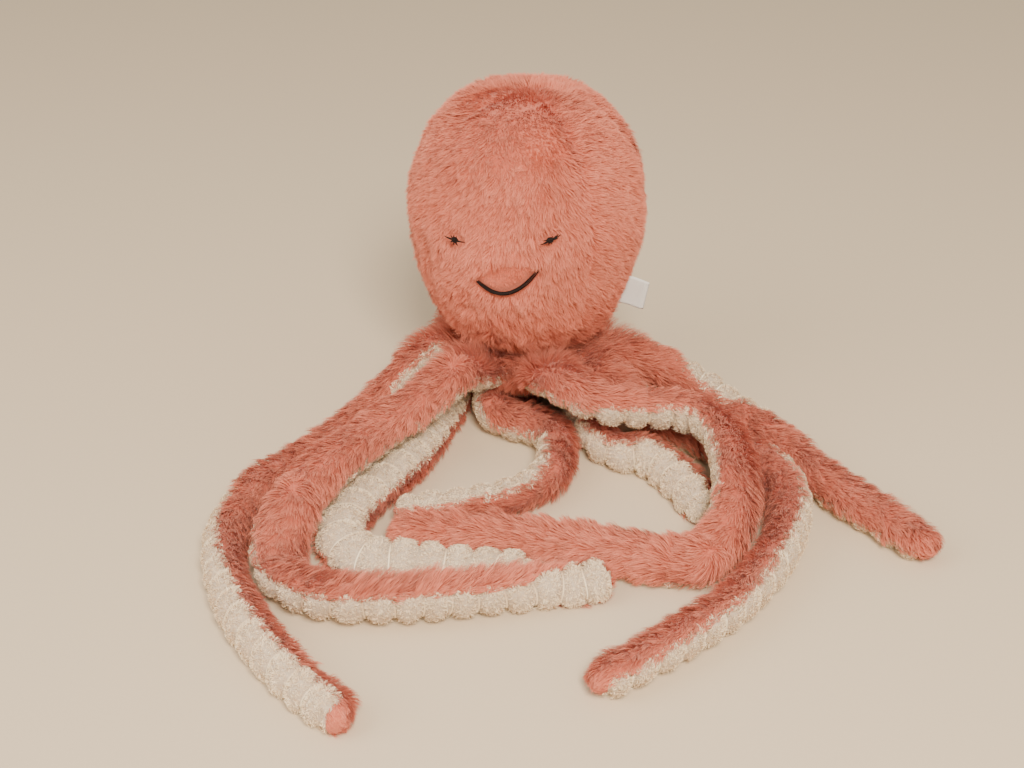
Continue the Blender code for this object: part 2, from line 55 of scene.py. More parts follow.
# ------------------------------------------------------------ the same routes
HALF_WIDTH = [(0.0, 10.4), (0.35, 10.9), (0.7, 9.8), (1.0, 8.8)]
HALF_THICK = [(0.0, 8.7), (0.35, 8.9), (0.7, 8.4), (1.0, 7.6)]
TENTACLES = {
    1: dict(
        route=[(-34, -6, 31), (-50, -9, 33), (-64, -22, 28), (-81, -39, 17),
               (-109, -72, 8), (-136, -109, 8), (-149.5, -150, 8),
               (-139, -195, 8), (-112, -239, 8), (-79, -274, 8)],
        roll=[(0.0, 0), (0.06, 58), (0.13, 60), (0.25, 8), (0.38, 0), (0.52, -70),
              (0.7, -98), (1.0, -112)],
        split=0.50),
    2: dict(
        route=[(-20.5, -27.5, 33.5), (-25.5, -34, 34.5), (-36, -47, 42.5), (-55, -67, 37),
               (-80, -90, 30.5), (-103, -119, 28), (-116, -145, 22),
               (-121, -166, 14), (-115, -185, 8.5), (-95, -197, 8),
               (-60, -199, 8), (-10, -191, 8), (40, -180, 8)],
        roll=[(0.0, 0), (0.38, -5), (0.52, -42), (0.84, -52), (1.0, -140)],
        wide=[(0.0, 1.0), (0.36, 1.0), (0.55, 1.24), (0.78, 1.22), (0.92, 1.02), (1.0, 1.0)],
        split=0.62),
    3: dict(
        route=[(-29.5, 17, 31), (-36.5, 21.5, 31), (-43, 26, 28),
               (-45.8, 27, 20), (-44, 25, 11.5), (-41, 17, 8), (-42, -4, 8),
               (-47, -30, 8), (-54, -53, 8), (-61, -77, 8), (-73.5, -100.5, 8),
               (-88, -124, 8),
               (-93, -147, 8), (-82, -163.5, 8), (-52, -167.5, 8),
               (2, -173, 8)],
        roll=[(0.0, 0), (0.3, 0), (0.5, 18), (0.75, 12), (1.0, 0)],
        wide=[(0.0, 1.0), (0.5, 1.0), (0.66, 1.14), (0.8, 1.12), (0.92, 1.0), (1.0, 1.0)],
        fold=(-36.4, 21.4), split=0.865),
    4: dict(
        route=[(-8.8, 33, 31), (-10.5, 40, 31), (-12.5, 47.5, 28),
               (-13.3, 50.5, 20), (-12.3, 47, 11.5), (-9, 36, 8),
               (-3, 16, 8), (-1, 2, 8), (-8, -10, 8), (-17, -20, 8),
               (-20, -32, 8), (-12, -43, 8), (3, -49, 8), (14, -61, 8),
               (15, -82, 8), (7, -102, 8), (-10, -115, 8), (-38, -123, 8),
               (-67, -127, 8)],
        roll=[(0.0, 0), (0.325, 0), (0.475, 168), (0.55, 160), (0.645, 112),
              (0.79, 46), (1.0, 36)],
        fold=(-11.1, 42.0), split=0.80),
    5: dict(
        route=[(8.2, -33, 33.5), (9.8, -41, 36), (14.5, -54, 43), (23.5, -66, 43.5),
               (38, -73.5, 39.5), (59.5, -72, 35.5),
               (82, -72, 33), (98, -84, 31.5), (103, -107, 30),
               (102.5, -131, 28), (97, -155.5, 20.5), (81, -169, 11),
               (58, -166.5, 8), (28, -157, 8), (-4, -149, 8), (-34, -145, 8),
               (-69, -143.5, 8)],
        roll=[(0.0, 8), (0.10, 4), (0.17, -26), (0.28, -46), (0.5, -50), (0.67, -30),
              (0.85, -15), (1.0, -10)],
        wide=[(0.0, 1.0), (0.2, 1.0), (0.32, 1.13), (0.5, 1.10), (0.7, 1.06), (0.92, 1.0), (1.0, 1.0)],
        split=0.66),
    6: dict(
        route=[(26.3, -21.5, 31), (35.5, -28.5, 30), (48, -36, 24.5), (63, -42.5, 15),
               (79, -49, 9), (95, -59, 8), (110, -77, 8), (124.5, -97, 8), (132, -123, 8),
               (124.5, -157, 8), (101, -193.5, 8), (68.5, -224, 8), (27, -253, 8)],
        roll=[(0.0, 0), (0.3, 5), (0.42, 70), (0.62, 74), (0.8, 54), (1.0, 38)],
        wide=[(0.0, 1.0), (0.3, 1.0), (0.45, 1.22), (0.85, 1.24), (0.96, 1.06), (1.0, 1.0)],
        split=0.50),
    7: dict(
        route=[(34.1, -3, 31), (46.5, -4.6, 30), (64, -9, 27), (84, -15, 22),
               (101, -23, 16), (115, -36, 10), (126, -54, 8), (140, -78, 8), (166, -117, 8),
               (198, -158, 8)],
        roll=[(0.0, 0), (0.13, 45), (0.27, 138), (0.35, 136), (0.56, 14), (1.0, 0)],
        split=0.60),
    8: dict(
        route=[(16, 30, 31), (19.2, 36.5, 31), (22.6, 43.5, 28),
               (24.2, 46.5, 20), (23.2, 43, 11.5), (22.5, 34, 8),
               (24, 10, 8), (29, -20, 8), (33, -46, 8), (38.5, -63, 8),
               (49, -75, 8), (65, -81, 8), (78, -99, 8), (91, -128, 8)],
        roll=[(0.0, 0), (0.33, 0), (0.53, 125), (0.67, 116), (0.82, 64),
              (1.0, 45)],
        fold=(19.7, 37.1), split=0.60),
}
ROOT_MOVES = (1, 2, 5, 7)      # these have a body of their own from the root on


def smooth_value(table, u):
    if u <= table[0][0]:
        return table[0][1]
    for (u0, v0), (u1, v1) in zip(table, table[1:]):
        if u <= u1:
            t = (u - u0) / (u1 - u0)
            t = t * t * (3 - 2 * t)
            return v0 + (v1 - v0) * t
    return table[-1][1]


def catmull_rom(points, per_span=16):
    pts = [Vector(p) for p in points]
    pts = [2 * pts[0] - pts[1]] + pts + [2 * pts[-1] - pts[-2]]
    out = []
    for i in range(1, len(pts) - 2):
        p0, p1, p2, p3 = pts[i - 1:i + 3]
        t0 = 0.0
        t1 = t0 + math.sqrt((p1 - p0).length)
        t2 = t1 + math.sqrt((p2 - p1).length)
        t3 = t2 + math.sqrt((p3 - p2).length)
        for k in range(per_span):
            t = t1 + (t2 - t1) * k / per_span
            a1 = p0.lerp(p1, (t - t0) / (t1 - t0))
            a2 = p1.lerp(p2, (t - t1) / (t2 - t1))
            a3 = p2.lerp(p3, (t - t2) / (t3 - t2))
            b1 = a1.lerp(a2, (t - t0) / (t2 - t0))
            b2 = a2.lerp(a3, (t - t1) / (t3 - t1))
            out.append(b1.lerp(b2, (t - t1) / (t2 - t1)))
    out.append(pts[-2])
    return out


def section(half_w, half_t):
    kx, kz = 0.64, 0.90
    return [(half_w, 0.0), (kx * half_w, kz * half_t), (-kx * half_w, kz * half_t),
            (-half_w, 0.0), (-kx * half_w, -kz * half_t), (kx * half_w, -kz * half_t)]


class Tube:
    """One tentacle's middle line and sections, as arrays a millimetre apart."""

    def __init__(self, spec):
        line = [p * MM for p in catmull_rom(spec["route"])]
        step = 1.0 * MM
        even, carry = [line[0]], 0.0
        for a, b in zip(line, line[1:]):
            seg = (b - a).length
            while carry + seg >= step:
                t = (step - carry) / seg
                a = a.lerp(b, t)
                even.append(a.copy())
                seg = (b - a).length
                carry = 0.0
            carry += seg
        self.points, self.step = even, step
        self.length = step * (len(even) - 1)
        self.roll_table, self.fold = spec["roll"], spec.get("fold")
        self.wide_table = spec.get("wide", [(0.0, 1.0), (1.0, 1.0)])
        self.split = spec["split"] * self.length
        self.frames = self.transport()
        self.settle_on_floor()
        self.frames = self.transport()
        n = len(even)
        self.p = np.array([tuple(v) for v in self.points])
        self.t = np.array([tuple(f[0]) for f in self.frames])
        self.s = np.array([tuple(f[1]) for f in self.frames])
        self.u = np.array([tuple(f[2]) for f in self.frames])
        self.w = np.array([smooth_value(HALF_WIDTH, i / (n - 1)) * smooth_value(self.wide_table, i / (n - 1))
                           for i in range(n)]) * MM
        self.h = np.array([smooth_value(HALF_THICK, i / (n - 1)) for i in range(n)]) * MM

    def transport(self):
        outermost = 0
        if self.fold:
            centre = Vector((self.fold[0] * MM, self.fold[1] * MM, 20.0 * MM))
            radial = Vector((self.fold[0], self.fold[1], 0)).normalized()
            reach = [(p - centre).dot(radial) for p in self.points]
            outermost = reach.index(max(reach[:80]))
        frames = []
        for i, point in enumerate(self.points):
            a = self.points[max(i - 2, 0)]
            b = self.points[min(i + 2, len(self.points) - 1)]
            tan = (b - a).normalized()
            up = Vector((0, 0, 1))
            if self.fold:
                if reach[i] >= 0 and i < 90:
                    up = radial * reach[i] + Vector((0, 0, point.z - centre.z))
                elif i > outermost:
                    up = Vector((0, 0, -1))
            up = (up - tan * up.dot(tan)).normalized()
            roll = math.radians(smooth_value(self.roll_table, i / (len(self.points) - 1)))
            up = Matrix.Rotation(roll, 3, tan) @ up
            frames.append((tan, up.cross(tan).normalized(), up))
        return frames

    def settle_on_floor(self):
        low = []
        for i in range(len(self.points)):
            _, side, up = self.frames[i]
            u = i / (len(self.points) - 1)
            hw = smooth_value(HALF_WIDTH, u) * smooth_value(self.wide_table, u) * MM
            ht = smooth_value(HALF_THICK, u) * MM
            low.append(max(-(x * side.z + z * up.z) for x, z in section(hw, ht)))
        for i, need in enumerate(low):
            if self.points[i].z < need:
                self.points[i].z = need
        for _ in range(6):
            heights = [p.z for p in self.points]
            for i in range(1, len(heights) - 1):
                eased = (heights[i - 1] + heights[i] + heights[i + 1]) / 3
                self.points[i].z = max(eased, low[i])

    def frame(self, s):
        """Point, tangent, side, up, half width and half thickness at arc lengths s."""
        f = np.clip(s / self.step, 0.0, len(self.p) - 1.001)
        i = f.astype(int)
        t = (f - i)[:, None]
        mix = lambda arr: arr[i] * (1 - t) + arr[i + 1] * t
        p = mix(self.p)
        tan = unit(mix(self.t))
        p = p + tan * np.minimum(s, 0.0)[:, None]
        flat = t[:, 0]
        w = self.w[i] * (1 - flat) + self.w[i + 1] * flat
        h = self.h[i] * (1 - flat) + self.h[i + 1] * flat
        return p, tan, unit(mix(self.s)), unit(mix(self.u)), w, h

    def surface(self, s, a, puff=0.0):
        """Points, normals, along and around directions of the skin at (s, a).

        a is 0 at one seam, 90 degrees at the middle of the coral side, 180 at
        the other seam and 270 at the middle of the cream side.
        """
        p, tan, side, up, w, h = self.frame(s)
        cap = 9.5 * MM
        q = np.clip((s - (self.length - cap)) / cap, 0.0, 1.0)
        k = np.sqrt(np.clip(1 - q * q, 0.0, 1.0))
        c, sn = np.cos(a), np.sin(a)
        w, h = w + puff, h + puff
        radial = unit(side * (c * h)[:, None] + up * (sn * w)[:, None])
        normal = unit(radial * k[:, None] + tan * q[:, None] + 1e-9)
        pos = p + side * (c * w * k)[:, None] + up * (sn * h * k)[:, None]
        around = unit(side * (-sn * w)[:, None] + up * (c * h)[:, None])
        along = unit(tan - normal * np.sum(tan * normal, 1)[:, None] + around * 1e-6)
        return pos, normal, along, around


def unit(v):
    return v / np.maximum(np.linalg.norm(v, axis=1), 1e-12)[:, None]


def smoothstep(x, lo, hi):
    t = np.clip((x - lo) / (hi - lo), 0.0, 1.0)
    return t * t * (3 - 2 * t)


def waves(p, period, seed):
    """Smooth pseudo-random field from -1 to 1 over points, about that period."""
    g = np.random.default_rng(seed)
    out = np.zeros(len(p))
    for _ in range(5):
        d = g.normal(size=p.shape[1])
        d /= np.linalg.norm(d)
        f = g.uniform(0.7, 1.5) * 2 * math.pi / period
        out += np.sin(p @ d * f + g.uniform(0, 6.28))
    return out / 3.0


# ------------------------------------------------------------------ materials
def nodes_of(name):
    mat = bpy.data.materials.new(name)
    mat.use_nodes = True
    nt = mat.node_tree
    return mat, nt, nt.nodes["Principled BSDF"]


def ramp(nt, stops, source):
    node = nt.nodes.new("ShaderNodeValToRGB")
    el = node.color_ramp.elements
    while len(el) < len(stops):
        el.new(0.5)
    for e, (pos, col) in zip(el, stops):
        e.position = pos
        e.color = (*col, 1.0)
    nt.links.new(source, node.inputs["Fac"])
    return node.outputs["Color"]


def attribute(nt, name):
    node = nt.nodes.new("ShaderNodeAttribute")
    node.attribute_name = name
    return node.outputs["Fac"]


def noise(nt, scale, detail=3.0, rough=0.55):
    coord = nt.nodes.new("ShaderNodeTexCoord")
    node = nt.nodes.new("ShaderNodeTexNoise")
    node.inputs["Scale"].default_value = scale
    node.inputs["Detail"].default_value = detail
    node.inputs["Roughness"].default_value = rough
    nt.links.new(coord.outputs["Object"], node.inputs["Vector"])
    return node.outputs["Fac"]


def mix_colour(nt, kind, factor, a, b):
    node = nt.nodes.new("ShaderNodeMix")
    node.data_type = "RGBA"
    node.blend_type = kind
    for value, key in ((factor, 0), (a, 6), (b, 7)):
        if isinstance(value, (int, float)):
            node.inputs[key].default_value = value
        elif isinstance(value, tuple):
            node.inputs[key].default_value = (*value, 1.0)
        else:
            nt.links.new(value, node.inputs[key])
    return node.outputs[2]


def pile_material(name, stops, warm, roughness, sheen, mottle):
    """Colour runs from a strand's root to its tip, darker at the root as painted shade deep in the pile, and shifts
    from lock to lock.
    """
    mat, nt, bsdf = nodes_of(name)
    col = ramp(nt, stops, attribute(nt, "along"))
    # tone: each lock's own brightness, plus painted shade in the chenille grooves and a painted highlight along the
    # head's right seam
    tone = ramp(nt, [(0.0, (0.84, 0.79, 0.77)), (0.5, (1.0, 1.0, 1.0)), (1.0, (1.07, 1.10, 1.12))],
                attribute(nt, "tone"))
    col = mix_colour(nt, "MULTIPLY", 1.0, col, tone)
    patch = ramp(nt, [(0.36, warm), (0.62, (1.0, 1.0, 1.0))], noise(nt, mottle, 3.0))
    col = mix_colour(nt, "MULTIPLY", 0.75, col, patch)
    worn = ramp(nt, [(0.0, (1.0, 1.0, 1.0)), (1.0, (0.87, 0.58, 0.49))], attribute(nt, "worn"))
    col = mix_colour(nt, "MULTIPLY", 1.0, col, worn)
    nt.links.new(col, bsdf.inputs["Base Color"])
    bsdf.inputs["Roughness"].default_value = roughness
    bsdf.inputs["Specular IOR Level"].default_value = 0.25
    bsdf.inputs["Sheen Weight"].default_value = sheen
    bsdf.inputs["Sheen Roughness"].default_value = 0.45
    return mat


def skin_material(name, light, dark, scale):
    """The cloth between the strands, with its short dense under-pile; its colour, darker than the pile, is partly the
    cloth's own and partly painted shade of the gaps between strands.
    """
    mat, nt, bsdf = nodes_of(name)
    col = ramp(nt, [(0.30, dark), (0.70, light)], noise(nt, scale, 4.0, 0.7))
    nt.links.new(col, bsdf.inputs["Base Color"])
    bump = nt.nodes.new("ShaderNodeBump")
    bump.inputs["Strength"].default_value = 0.7
    bump.inputs["Distance"].default_value = 0.0006
    nt.links.new(noise(nt, scale * 2.2, 2.0), bump.inputs["Height"])
    nt.links.new(bump.outputs["Normal"], bsdf.inputs["Normal"])
    bsdf.inputs["Roughness"].default_value = 0.95
    bsdf.inputs["Specular IOR Level"].default_value = 0.15
    bsdf.inputs["Sheen Weight"].default_value = 0.2
    return mat


MAT = {
    "coral": pile_material(
        "coral_pile_strands",
        # root stops darkest, lightening to the tips: painted shade deep in the pile
        [(0.0, (0.54, 0.130, 0.078)), (0.35, (0.68, 0.200, 0.127)), (0.75, (0.77, 0.256, 0.170)),
         (1.0, (0.83, 0.315, 0.220))],
        (0.94, 0.88, 0.86), 0.85, 0.12, 34.0),
    # dark grounds: partly the cloth's colour, partly painted shade between the strands
    "coral_skin": skin_material("coral_pile_ground", (0.68, 0.205, 0.135), (0.50, 0.120, 0.075), 900.0),
    "cream": pile_material(
        "cream_chenille_tufts",
        # root stops darkest, lightening to the tips: painted shade deep in the pile
        [(0.0, (0.68, 0.49, 0.33)), (0.4, (0.92, 0.74, 0.52)), (0.8, (0.98, 0.85, 0.64)),
         (1.0, (0.99, 0.93, 0.79))],
        (0.95, 0.90, 0.86), 0.85, 0.25, 48.0),
    "cream_skin": skin_material("cream_chenille_ground", (0.70, 0.58, 0.46), (0.52, 0.41, 0.31), 700.0),
}


def thread_material(name, colour, roughness, sheen):
    mat, nt, bsdf = nodes_of(name)
    coord = nt.nodes.new("ShaderNodeTexCoord")
    wave = nt.nodes.new("ShaderNodeTexWave")
    wave.inputs["Scale"].default_value = 900.0
    wave.inputs["Distortion"].default_value = 1.5
    nt.links.new(coord.outputs["Object"], wave.inputs["Vector"])
    dark = tuple(c * 0.55 for c in colour)
    nt.links.new(ramp(nt, [(0.2, dark), (0.8, colour)], wave.outputs["Fac"]), bsdf.inputs["Base Color"])
    bump = nt.nodes.new("ShaderNodeBump")
    bump.inputs["Strength"].default_value = 0.4
    bump.inputs["Distance"].default_value = 0.0002
    nt.links.new(wave.outputs["Fac"], bump.inputs["Height"])
    nt.links.new(bump.outputs["Normal"], bsdf.inputs["Normal"])
    bsdf.inputs["Roughness"].default_value = roughness
    bsdf.inputs["Specular IOR Level"].default_value = 0.25
    bsdf.inputs["Sheen Weight"].default_value = sheen
    return mat


MAT["brown"] = thread_material("brown_satin_thread", (0.012, 0.005, 0.004), 0.60, 0.0)


# --------------------------------------------------------------- mesh helpers
def mesh_object(name, verts, tris=None, quads=None, smooth=True):
    mesh = bpy.data.meshes.new(name)
    tris = np.zeros((0, 3), int) if tris is None else tris
    quads = np.zeros((0, 4), int) if quads is None else quads
    mesh.vertices.add(len(verts))
    mesh.vertices.foreach_set("co", np.ascontiguousarray(verts, np.float32).ravel())
    loops = np.concatenate([quads.ravel(), tris.ravel()]).astype(np.int32)
    mesh.loops.add(len(loops))
    mesh.loops.foreach_set("vertex_index", loops)
    starts = np.concatenate([np.arange(len(quads)) * 4, len(quads) * 4 + np.arange(len(tris)) * 3])
    mesh.polygons.add(len(quads) + len(tris))
    mesh.polygons.foreach_set("loop_start", starts.astype(np.int32))
    mesh.polygons.foreach_set("use_smooth", np.full(len(quads) + len(tris), smooth))
    mesh.update(calc_edges=True)
    obj = bpy.data.objects.new(name, mesh)
    bpy.context.scene.collection.objects.link(obj)
    return obj


def bake_map(mesh, uv):
    """A texture layout given per vertex."""
    layer = mesh.uv_layers.new(name="OFBake")
    index = np.zeros(len(mesh.loops), np.int32)
    mesh.loops.foreach_get("vertex_index", index)
    layer.uv.foreach_set("vector", uv[index].astype(np.float32).ravel())


def point_value(mesh, name, values):
    att = mesh.attributes.new(name, "FLOAT", "POINT")
    att.data.foreach_set("value", np.ascontiguousarray(values, np.float32))


class Pile:
    """Strands waiting to become one mesh."""

    def __init__(self):
        self.parts = []

    def add(self, curve, width, twist, normal, tone, worn, cell, taper=0.55):
        """curve (n, k, 3), width (n,), normal (n, 3), cell (n,) texture cell."""
        self.parts.append((curve, width, twist, normal, tone, worn, cell, taper))

    def build(self, name, material):
        verts, uvs, along, tones, worns, quads, tris = [], [], [], [], [], [], []
        offset = 0
        for curve, width, twist, normal, tone, worn, cell, taper in self.parts:
            n, k, _ = curve.shape
            if n == 0:
                continue
            ds = np.gradient(curve, axis=1)
            rows = []
            for j in range(k):
                d = unit(ds[:, j])
                across = unit(np.cross(d, normal))
                face = np.cross(across, d)
                across = across * np.cos(twist)[:, None] + face * np.sin(twist)[:, None]
                t = j / (k - 1)
                half = (0.5 * width * (1.0 - t) ** taper)[:, None] * across
                if j < k - 1:
                    rows += [curve[:, j] - half, curve[:, j] + half]
                else:
                    rows.append(curve[:, j])
            block = np.stack(rows, 1)                     # n, 2k-1, 3
            per = 2 * k - 1
            base = offset + np.arange(n)[:, None] * per
            for j in range(k - 2):
                quads.append(np.concatenate([base + 2 * j, base + 2 * j + 1, base + 2 * j + 3,
                                             base + 2 * j + 2], 1))
            tris.append(np.concatenate([base + per - 3, base + per - 2, base + per - 1], 1))
            verts.append(block.reshape(-1, 3))
            level = np.concatenate([np.repeat(np.arange(k - 1) / (k - 1), 2), [1.0]])
            along.append(np.tile(level, n))
            tones.append(np.repeat(tone, per))
            worns.append(np.repeat(worn, per))
            # texture cells: neighbouring strands share one, tips to the top
            grid = 32
            cx, cy = cell % grid, (cell // grid) % grid
            jit = (np.arange(n) * 0.61803) % 1.0
            side = np.concatenate([np.tile([-0.03, 0.03], k - 1), [0.0]])
            u = (cx[:, None] + 0.12 + 0.70 * jit[:, None] + side[None, :]) / grid
            v = (cy[:, None] + 0.08 + 0.84 * level[None, :]) / grid
            uvs.append(np.stack([u, v], 2).reshape(-1, 2))
            offset += n * per
        verts = np.concatenate(verts)
        verts[:, 2] = np.maximum(verts[:, 2], 0.15 * MM)
        obj = mesh_object(name, verts, np.concatenate(tris), np.concatenate(quads))
        point_value(obj.data, "along", np.concatenate(along))
        point_value(obj.data, "tone", np.concatenate(tones))
        point_value(obj.data, "worn", np.concatenate(worns))
        bake_map(obj.data, np.concatenate(uvs))
        obj.data.materials.append(MAT[material])
        return obj


def group_mean(cells, curve):
    """Mean curve of the strands that share a cell, given back per strand."""
    _, inv = np.unique(cells, axis=0, return_inverse=True)
    inv = inv.ravel()
    count = np.bincount(inv).astype(float)
    n, k, _ = curve.shape
    mean = np.zeros((len(count), k, 3))
    for j in range(k):
        for c in range(3):
            mean[:, j, c] = np.bincount(inv, weights=curve[:, j, c]) / count
    return mean[inv], inv


def grow(pos, normal, flow, length, lean, bend, curl=0.0, turn=0.2, knots=4,
         clumps=((2.4 * MM, 0.6),), where=None, sink=0.6 * MM, gen=None):
    """Curves of strands that leave pos, lean towards flow and bend over.

    lean and bend are angles from the normal at the root and at the tip.
    where gives the coordinates that locks are gathered in (default: pos).
    """
    g = gen or rng
    n = len(pos)
    spin = g.normal(0.0, turn, n)
    binormal = np.cross(normal, flow)
    flow = unit(flow * np.cos(spin)[:, None] + binormal * np.sin(spin)[:, None])
    binormal = np.cross(normal, flow)
    lean = lean + g.normal(0.0, 0.12, n)
    bend = bend + g.normal(0.0, 0.14, n)
    length = length * g.uniform(0.72, 1.18, n)
    phase = g.uniform(0, 2 * math.pi, n)
    curve = np.zeros((n, knots, 3))
    curve[:, 0] = pos - normal * sink
    for j in range(1, knots):
        t = (j - 0.5) / (knots - 1)
        a = lean + (bend - lean) * t
        d = normal * np.cos(a)[:, None] + flow * np.sin(a)[:, None]
        curve[:, j] = curve[:, j - 1] + d * (length / (knots - 1))[:, None]
    if np.any(curl):
        for j in range(1, knots):
            t = j / (knots - 1)
            curve[:, j] += binormal * (curl * t * np.sin(phase + 4.2 * t))[:, None]
            curve[:, j] += normal * (0.5 * curl * t * np.cos(phase * 1.7 + 4.2 * t))[:, None]
    where = pos if where is None else where
    lock = np.zeros(n)
    for size, pull in clumps:
        warp = np.stack([waves(where, size * 5.3, 11 + i) for i in range(where.shape[1])], 1)
        cells = np.floor((where + warp * size * 0.55) / size).astype(int)
        mean, lock = group_mean(cells, curve)
        for j in range(1, knots):
            t = (j / (knots - 1)) ** 1.25
            curve[:, j] += (mean[:, j] - curve[:, j]) * (pull * t)
    return curve, lock


def lock_tone(lock, spread, gen=None):
    """A brightness from 0 to 1 for each strand, mostly shared by its lock."""
    g = gen or rng
    shared = g.random(int(lock.max()) + 1)[lock]
    return np.clip(0.5 + (shared - 0.5) * spread + g.normal(0, 0.12, len(lock)), 0, 1)


# -------------------------------------------------------------- the tentacles
RIB = 13.0 * MM


def rib_phase(s, a, number):
    """Which rib a point of the cream side lies on: whole numbers are grooves."""
    grid = np.stack([s, a * 0.010], 1)
    return (s + waves(grid, 45 * MM, 60 + number) * 1.3 * MM) / RIB + 0.13 * number


def skin_offset(tube, s, a, number):
    """How far the skin stands off the plain section: ribs with narrow grooves."""
    cream = smoothstep(-np.sin(a), 0.0, 0.22)
    grid = np.stack([s, a * 0.010], 1)
    lumps = waves(grid, 30 * MM, 40 + number) * 0.5 * MM
    ribs = (np.abs(np.sin(math.pi * rib_phase(s, a, number))) ** 0.7 - 0.66) * 3.6 * MM
    return np.where(np.sin(a) < 0, ribs * cream, lumps)


def skin_mesh(name, tube, number, s0, s1, tip):
    """A stretch of a tentacle's cloth: coral half and ribbed cream half."""
    rows = max(3, int((s1 - s0) / (1.1 * MM)) + 1)
    svals = np.linspace(s0, s1, rows)
    if tip:
        cap = tube.length - 9.5 * MM
        svals = np.concatenate([svals[svals < cap],
                                cap + 9.5 * MM * np.sin(np.linspace(0, 1, 9) * math.pi / 2)])
        rows = len(svals)
    around = 40
    avals = np.arange(around) * 2 * math.pi / around
    s = np.repeat(svals, around)
    a = np.tile(avals, rows)
    pos, nor, _, _ = tube.surface(s, a)
    pos = pos + nor * skin_offset(tube, s, a, number)[:, None]
    pos[:, 2] = np.maximum(pos[:, 2], 0.3 * MM)
    i = np.arange(rows - 1)[:, None] * around
    j = np.arange(around)[None, :]
    jn = (j + 1) % around
    quads = np.stack([i + j, i + jn, i + around + jn, i + around + j], 2).reshape(-1, 4)
    obj = mesh_object(name, pos, None, quads)
    uv = np.stack([a / (2 * math.pi) * 0.96 + 0.01, (s - s0) / max(s1 - s0, 1e-6) * 0.98 + 0.01], 1)
    bake_map(obj.data, uv)
    obj.data.materials.append(MAT["coral_skin"])
    obj.data.materials.append(MAT["cream_skin"])
    middle = (np.tile(avals, rows - 1) + math.pi / around)
    reached = np.repeat(svals[:-1], around) > tube.length - CORAL_TIP.get(number, 0.0) - 1e-6
    slots = ((np.sin(middle) < 0) & ~reached).astype(np.int32)
    obj.data.polygons.foreach_set("material_index", slots)
    return obj


DENSE = 1.0
FAT = 1.0

# where the combed pile parts and radiates: tentacle -> (mm from the root, degrees round)
# how far the coral strip folds over the cream one at the very tip (metres)
CORAL_TIP = {1: 5.5 * MM, 6: 3.0 * MM, 7: 5.0 * MM}
BURSTS = {2: [(34, 80), (150, 110)],
          5: [(118, 80), (214, 95)],
          6: [(250, 80)]}


def coral_strands(tube, number, s0, s1, per_mm2):
    """Combed long pile on the coral side of a stretch."""
    count = int((s1 - s0) * math.pi * 10.2 * MM * 1e6 * per_mm2 * DENSE)
    s = rng.uniform(s0, s1, count)
    a = rng.uniform(-0.16, math.pi + 0.16, count)
    folded = CORAL_TIP.get(number, 0.0)
    if folded and s1 > tube.length - folded:
        more = int(folded * math.pi * 9.0 * MM * 1e6 * per_mm2 * DENSE)
        s = np.concatenate([s, rng.uniform(tube.length - folded, s1, more)])
        a = np.concatenate([a, rng.uniform(math.pi, 2 * math.pi, more)])
        count = len(s)
    pos, nor, along, around = tube.surface(s, a)
    keep = (nor[:, 2] > -0.35) | (rng.random(count) < 0.4)     # thinner where it lies on the floor
    arc = (a - math.pi / 2) * 10.0 * MM
    keep &= waves(np.stack([s, arc], 1), 6 * MM, 395 + number) < rng.uniform(0.8, 1.3, count)
    s, a, pos, nor, along, around = s[keep], a[keep], pos[keep], nor[keep], along[keep], around[keep]
    count = len(s)
    across = np.clip((a - math.pi / 2) / (math.pi / 2), -1.1, 1.1)
    arc = (a - math.pi / 2) * 10.0 * MM
    grid = np.stack([s, arc], 1)
    seam = smoothstep(np.abs(across), 0.66, 1.02)
    root = 1 - smoothstep(s, 4 * MM, 42 * MM) if number in ROOT_MOVES + (6,) else np.zeros(count)
    swirl = waves(grid, 46 * MM, 300 + number)
    flow_s = np.full(count, 1.0) + 0.30 * waves(grid, 60 * MM, 330 + number)
    flow_a = (0.50 * across * (1 - 0.45 * seam) + 0.42 * swirl + 0.26 * waves(grid, 16 * MM, 350 + number)
              + 0.42 * waves(grid, 8 * MM, 351 + number))
    lift = np.zeros(count)
    for bs, bdeg in BURSTS.get(number, ()):
        ds = s - bs * MM
        da = arc - math.radians(bdeg - 90) * 10 * MM
        dist = np.hypot(ds, da) + 1e-6
        weight = 1.35 * np.exp(-(dist / (10 * MM)) ** 2)
        flow_s += weight * ds / dist
        flow_a += weight * da / dist
        lift = np.maximum(lift, 0.6 * np.exp(-(dist / (5 * MM)) ** 2))
    out = np.zeros(count)
    if number == 2:
        out = smoothstep(s / tube.length, 0.50, 0.60) * (1 - smoothstep(s / tube.length, 0.86, 0.95))
        flow_a = flow_a * (1 + 0.5 * out) - 0.8 * out
    flow = unit(along * flow_s[:, None] + around * flow_a[:, None])
    tall = 1.0 + 0.20 * waves(grid, 22 * MM, 360 + number) + 0.24 * waves(grid, 8 * MM, 365 + number)
    near_tip = smoothstep(tube.length - s, 0.0, 14 * MM)
    length = (8.6 * MM * tall) * (0.60 + 0.40 * near_tip) * (1 - 0.30 * seam) * (1 + 0.55 * root) * (1 + 0.22 * out)
    lean = 0.62 + 0.34 * waves(grid, 9 * MM, 380 + number) - 0.30 * lift - 0.35 * root - 0.15 * out
    bend = 1.42 - 0.30 * lift - 0.25 * out + 0.20 * waves(grid, 8 * MM, 390 + number) - 0.42 * root
    curve, lock = grow(pos, nor, flow, length, lean, bend, curl=0.7 * MM, turn=0.22,
                       clumps=((4.0 * MM, 0.24), (1.5 * MM, 0.60)), where=grid)
    tone = lock_tone(lock, 0.6)
    worn = 0.22 * smoothstep(waves(grid, 30 * MM, 410 + number), 0.2, 1.2)
    width = rng.uniform(0.26, 0.46, count) * MM * FAT
    cell = (np.floor((s - s0) / max(s1 - s0, 1e-6) * 31.99).astype(int)
            + 32 * np.clip(((a + 0.3) / (math.pi + 0.6) * 32).astype(int), 0, 31))
    return curve, width, rng.normal(0, 0.42, count), nor, tone, worn, cell


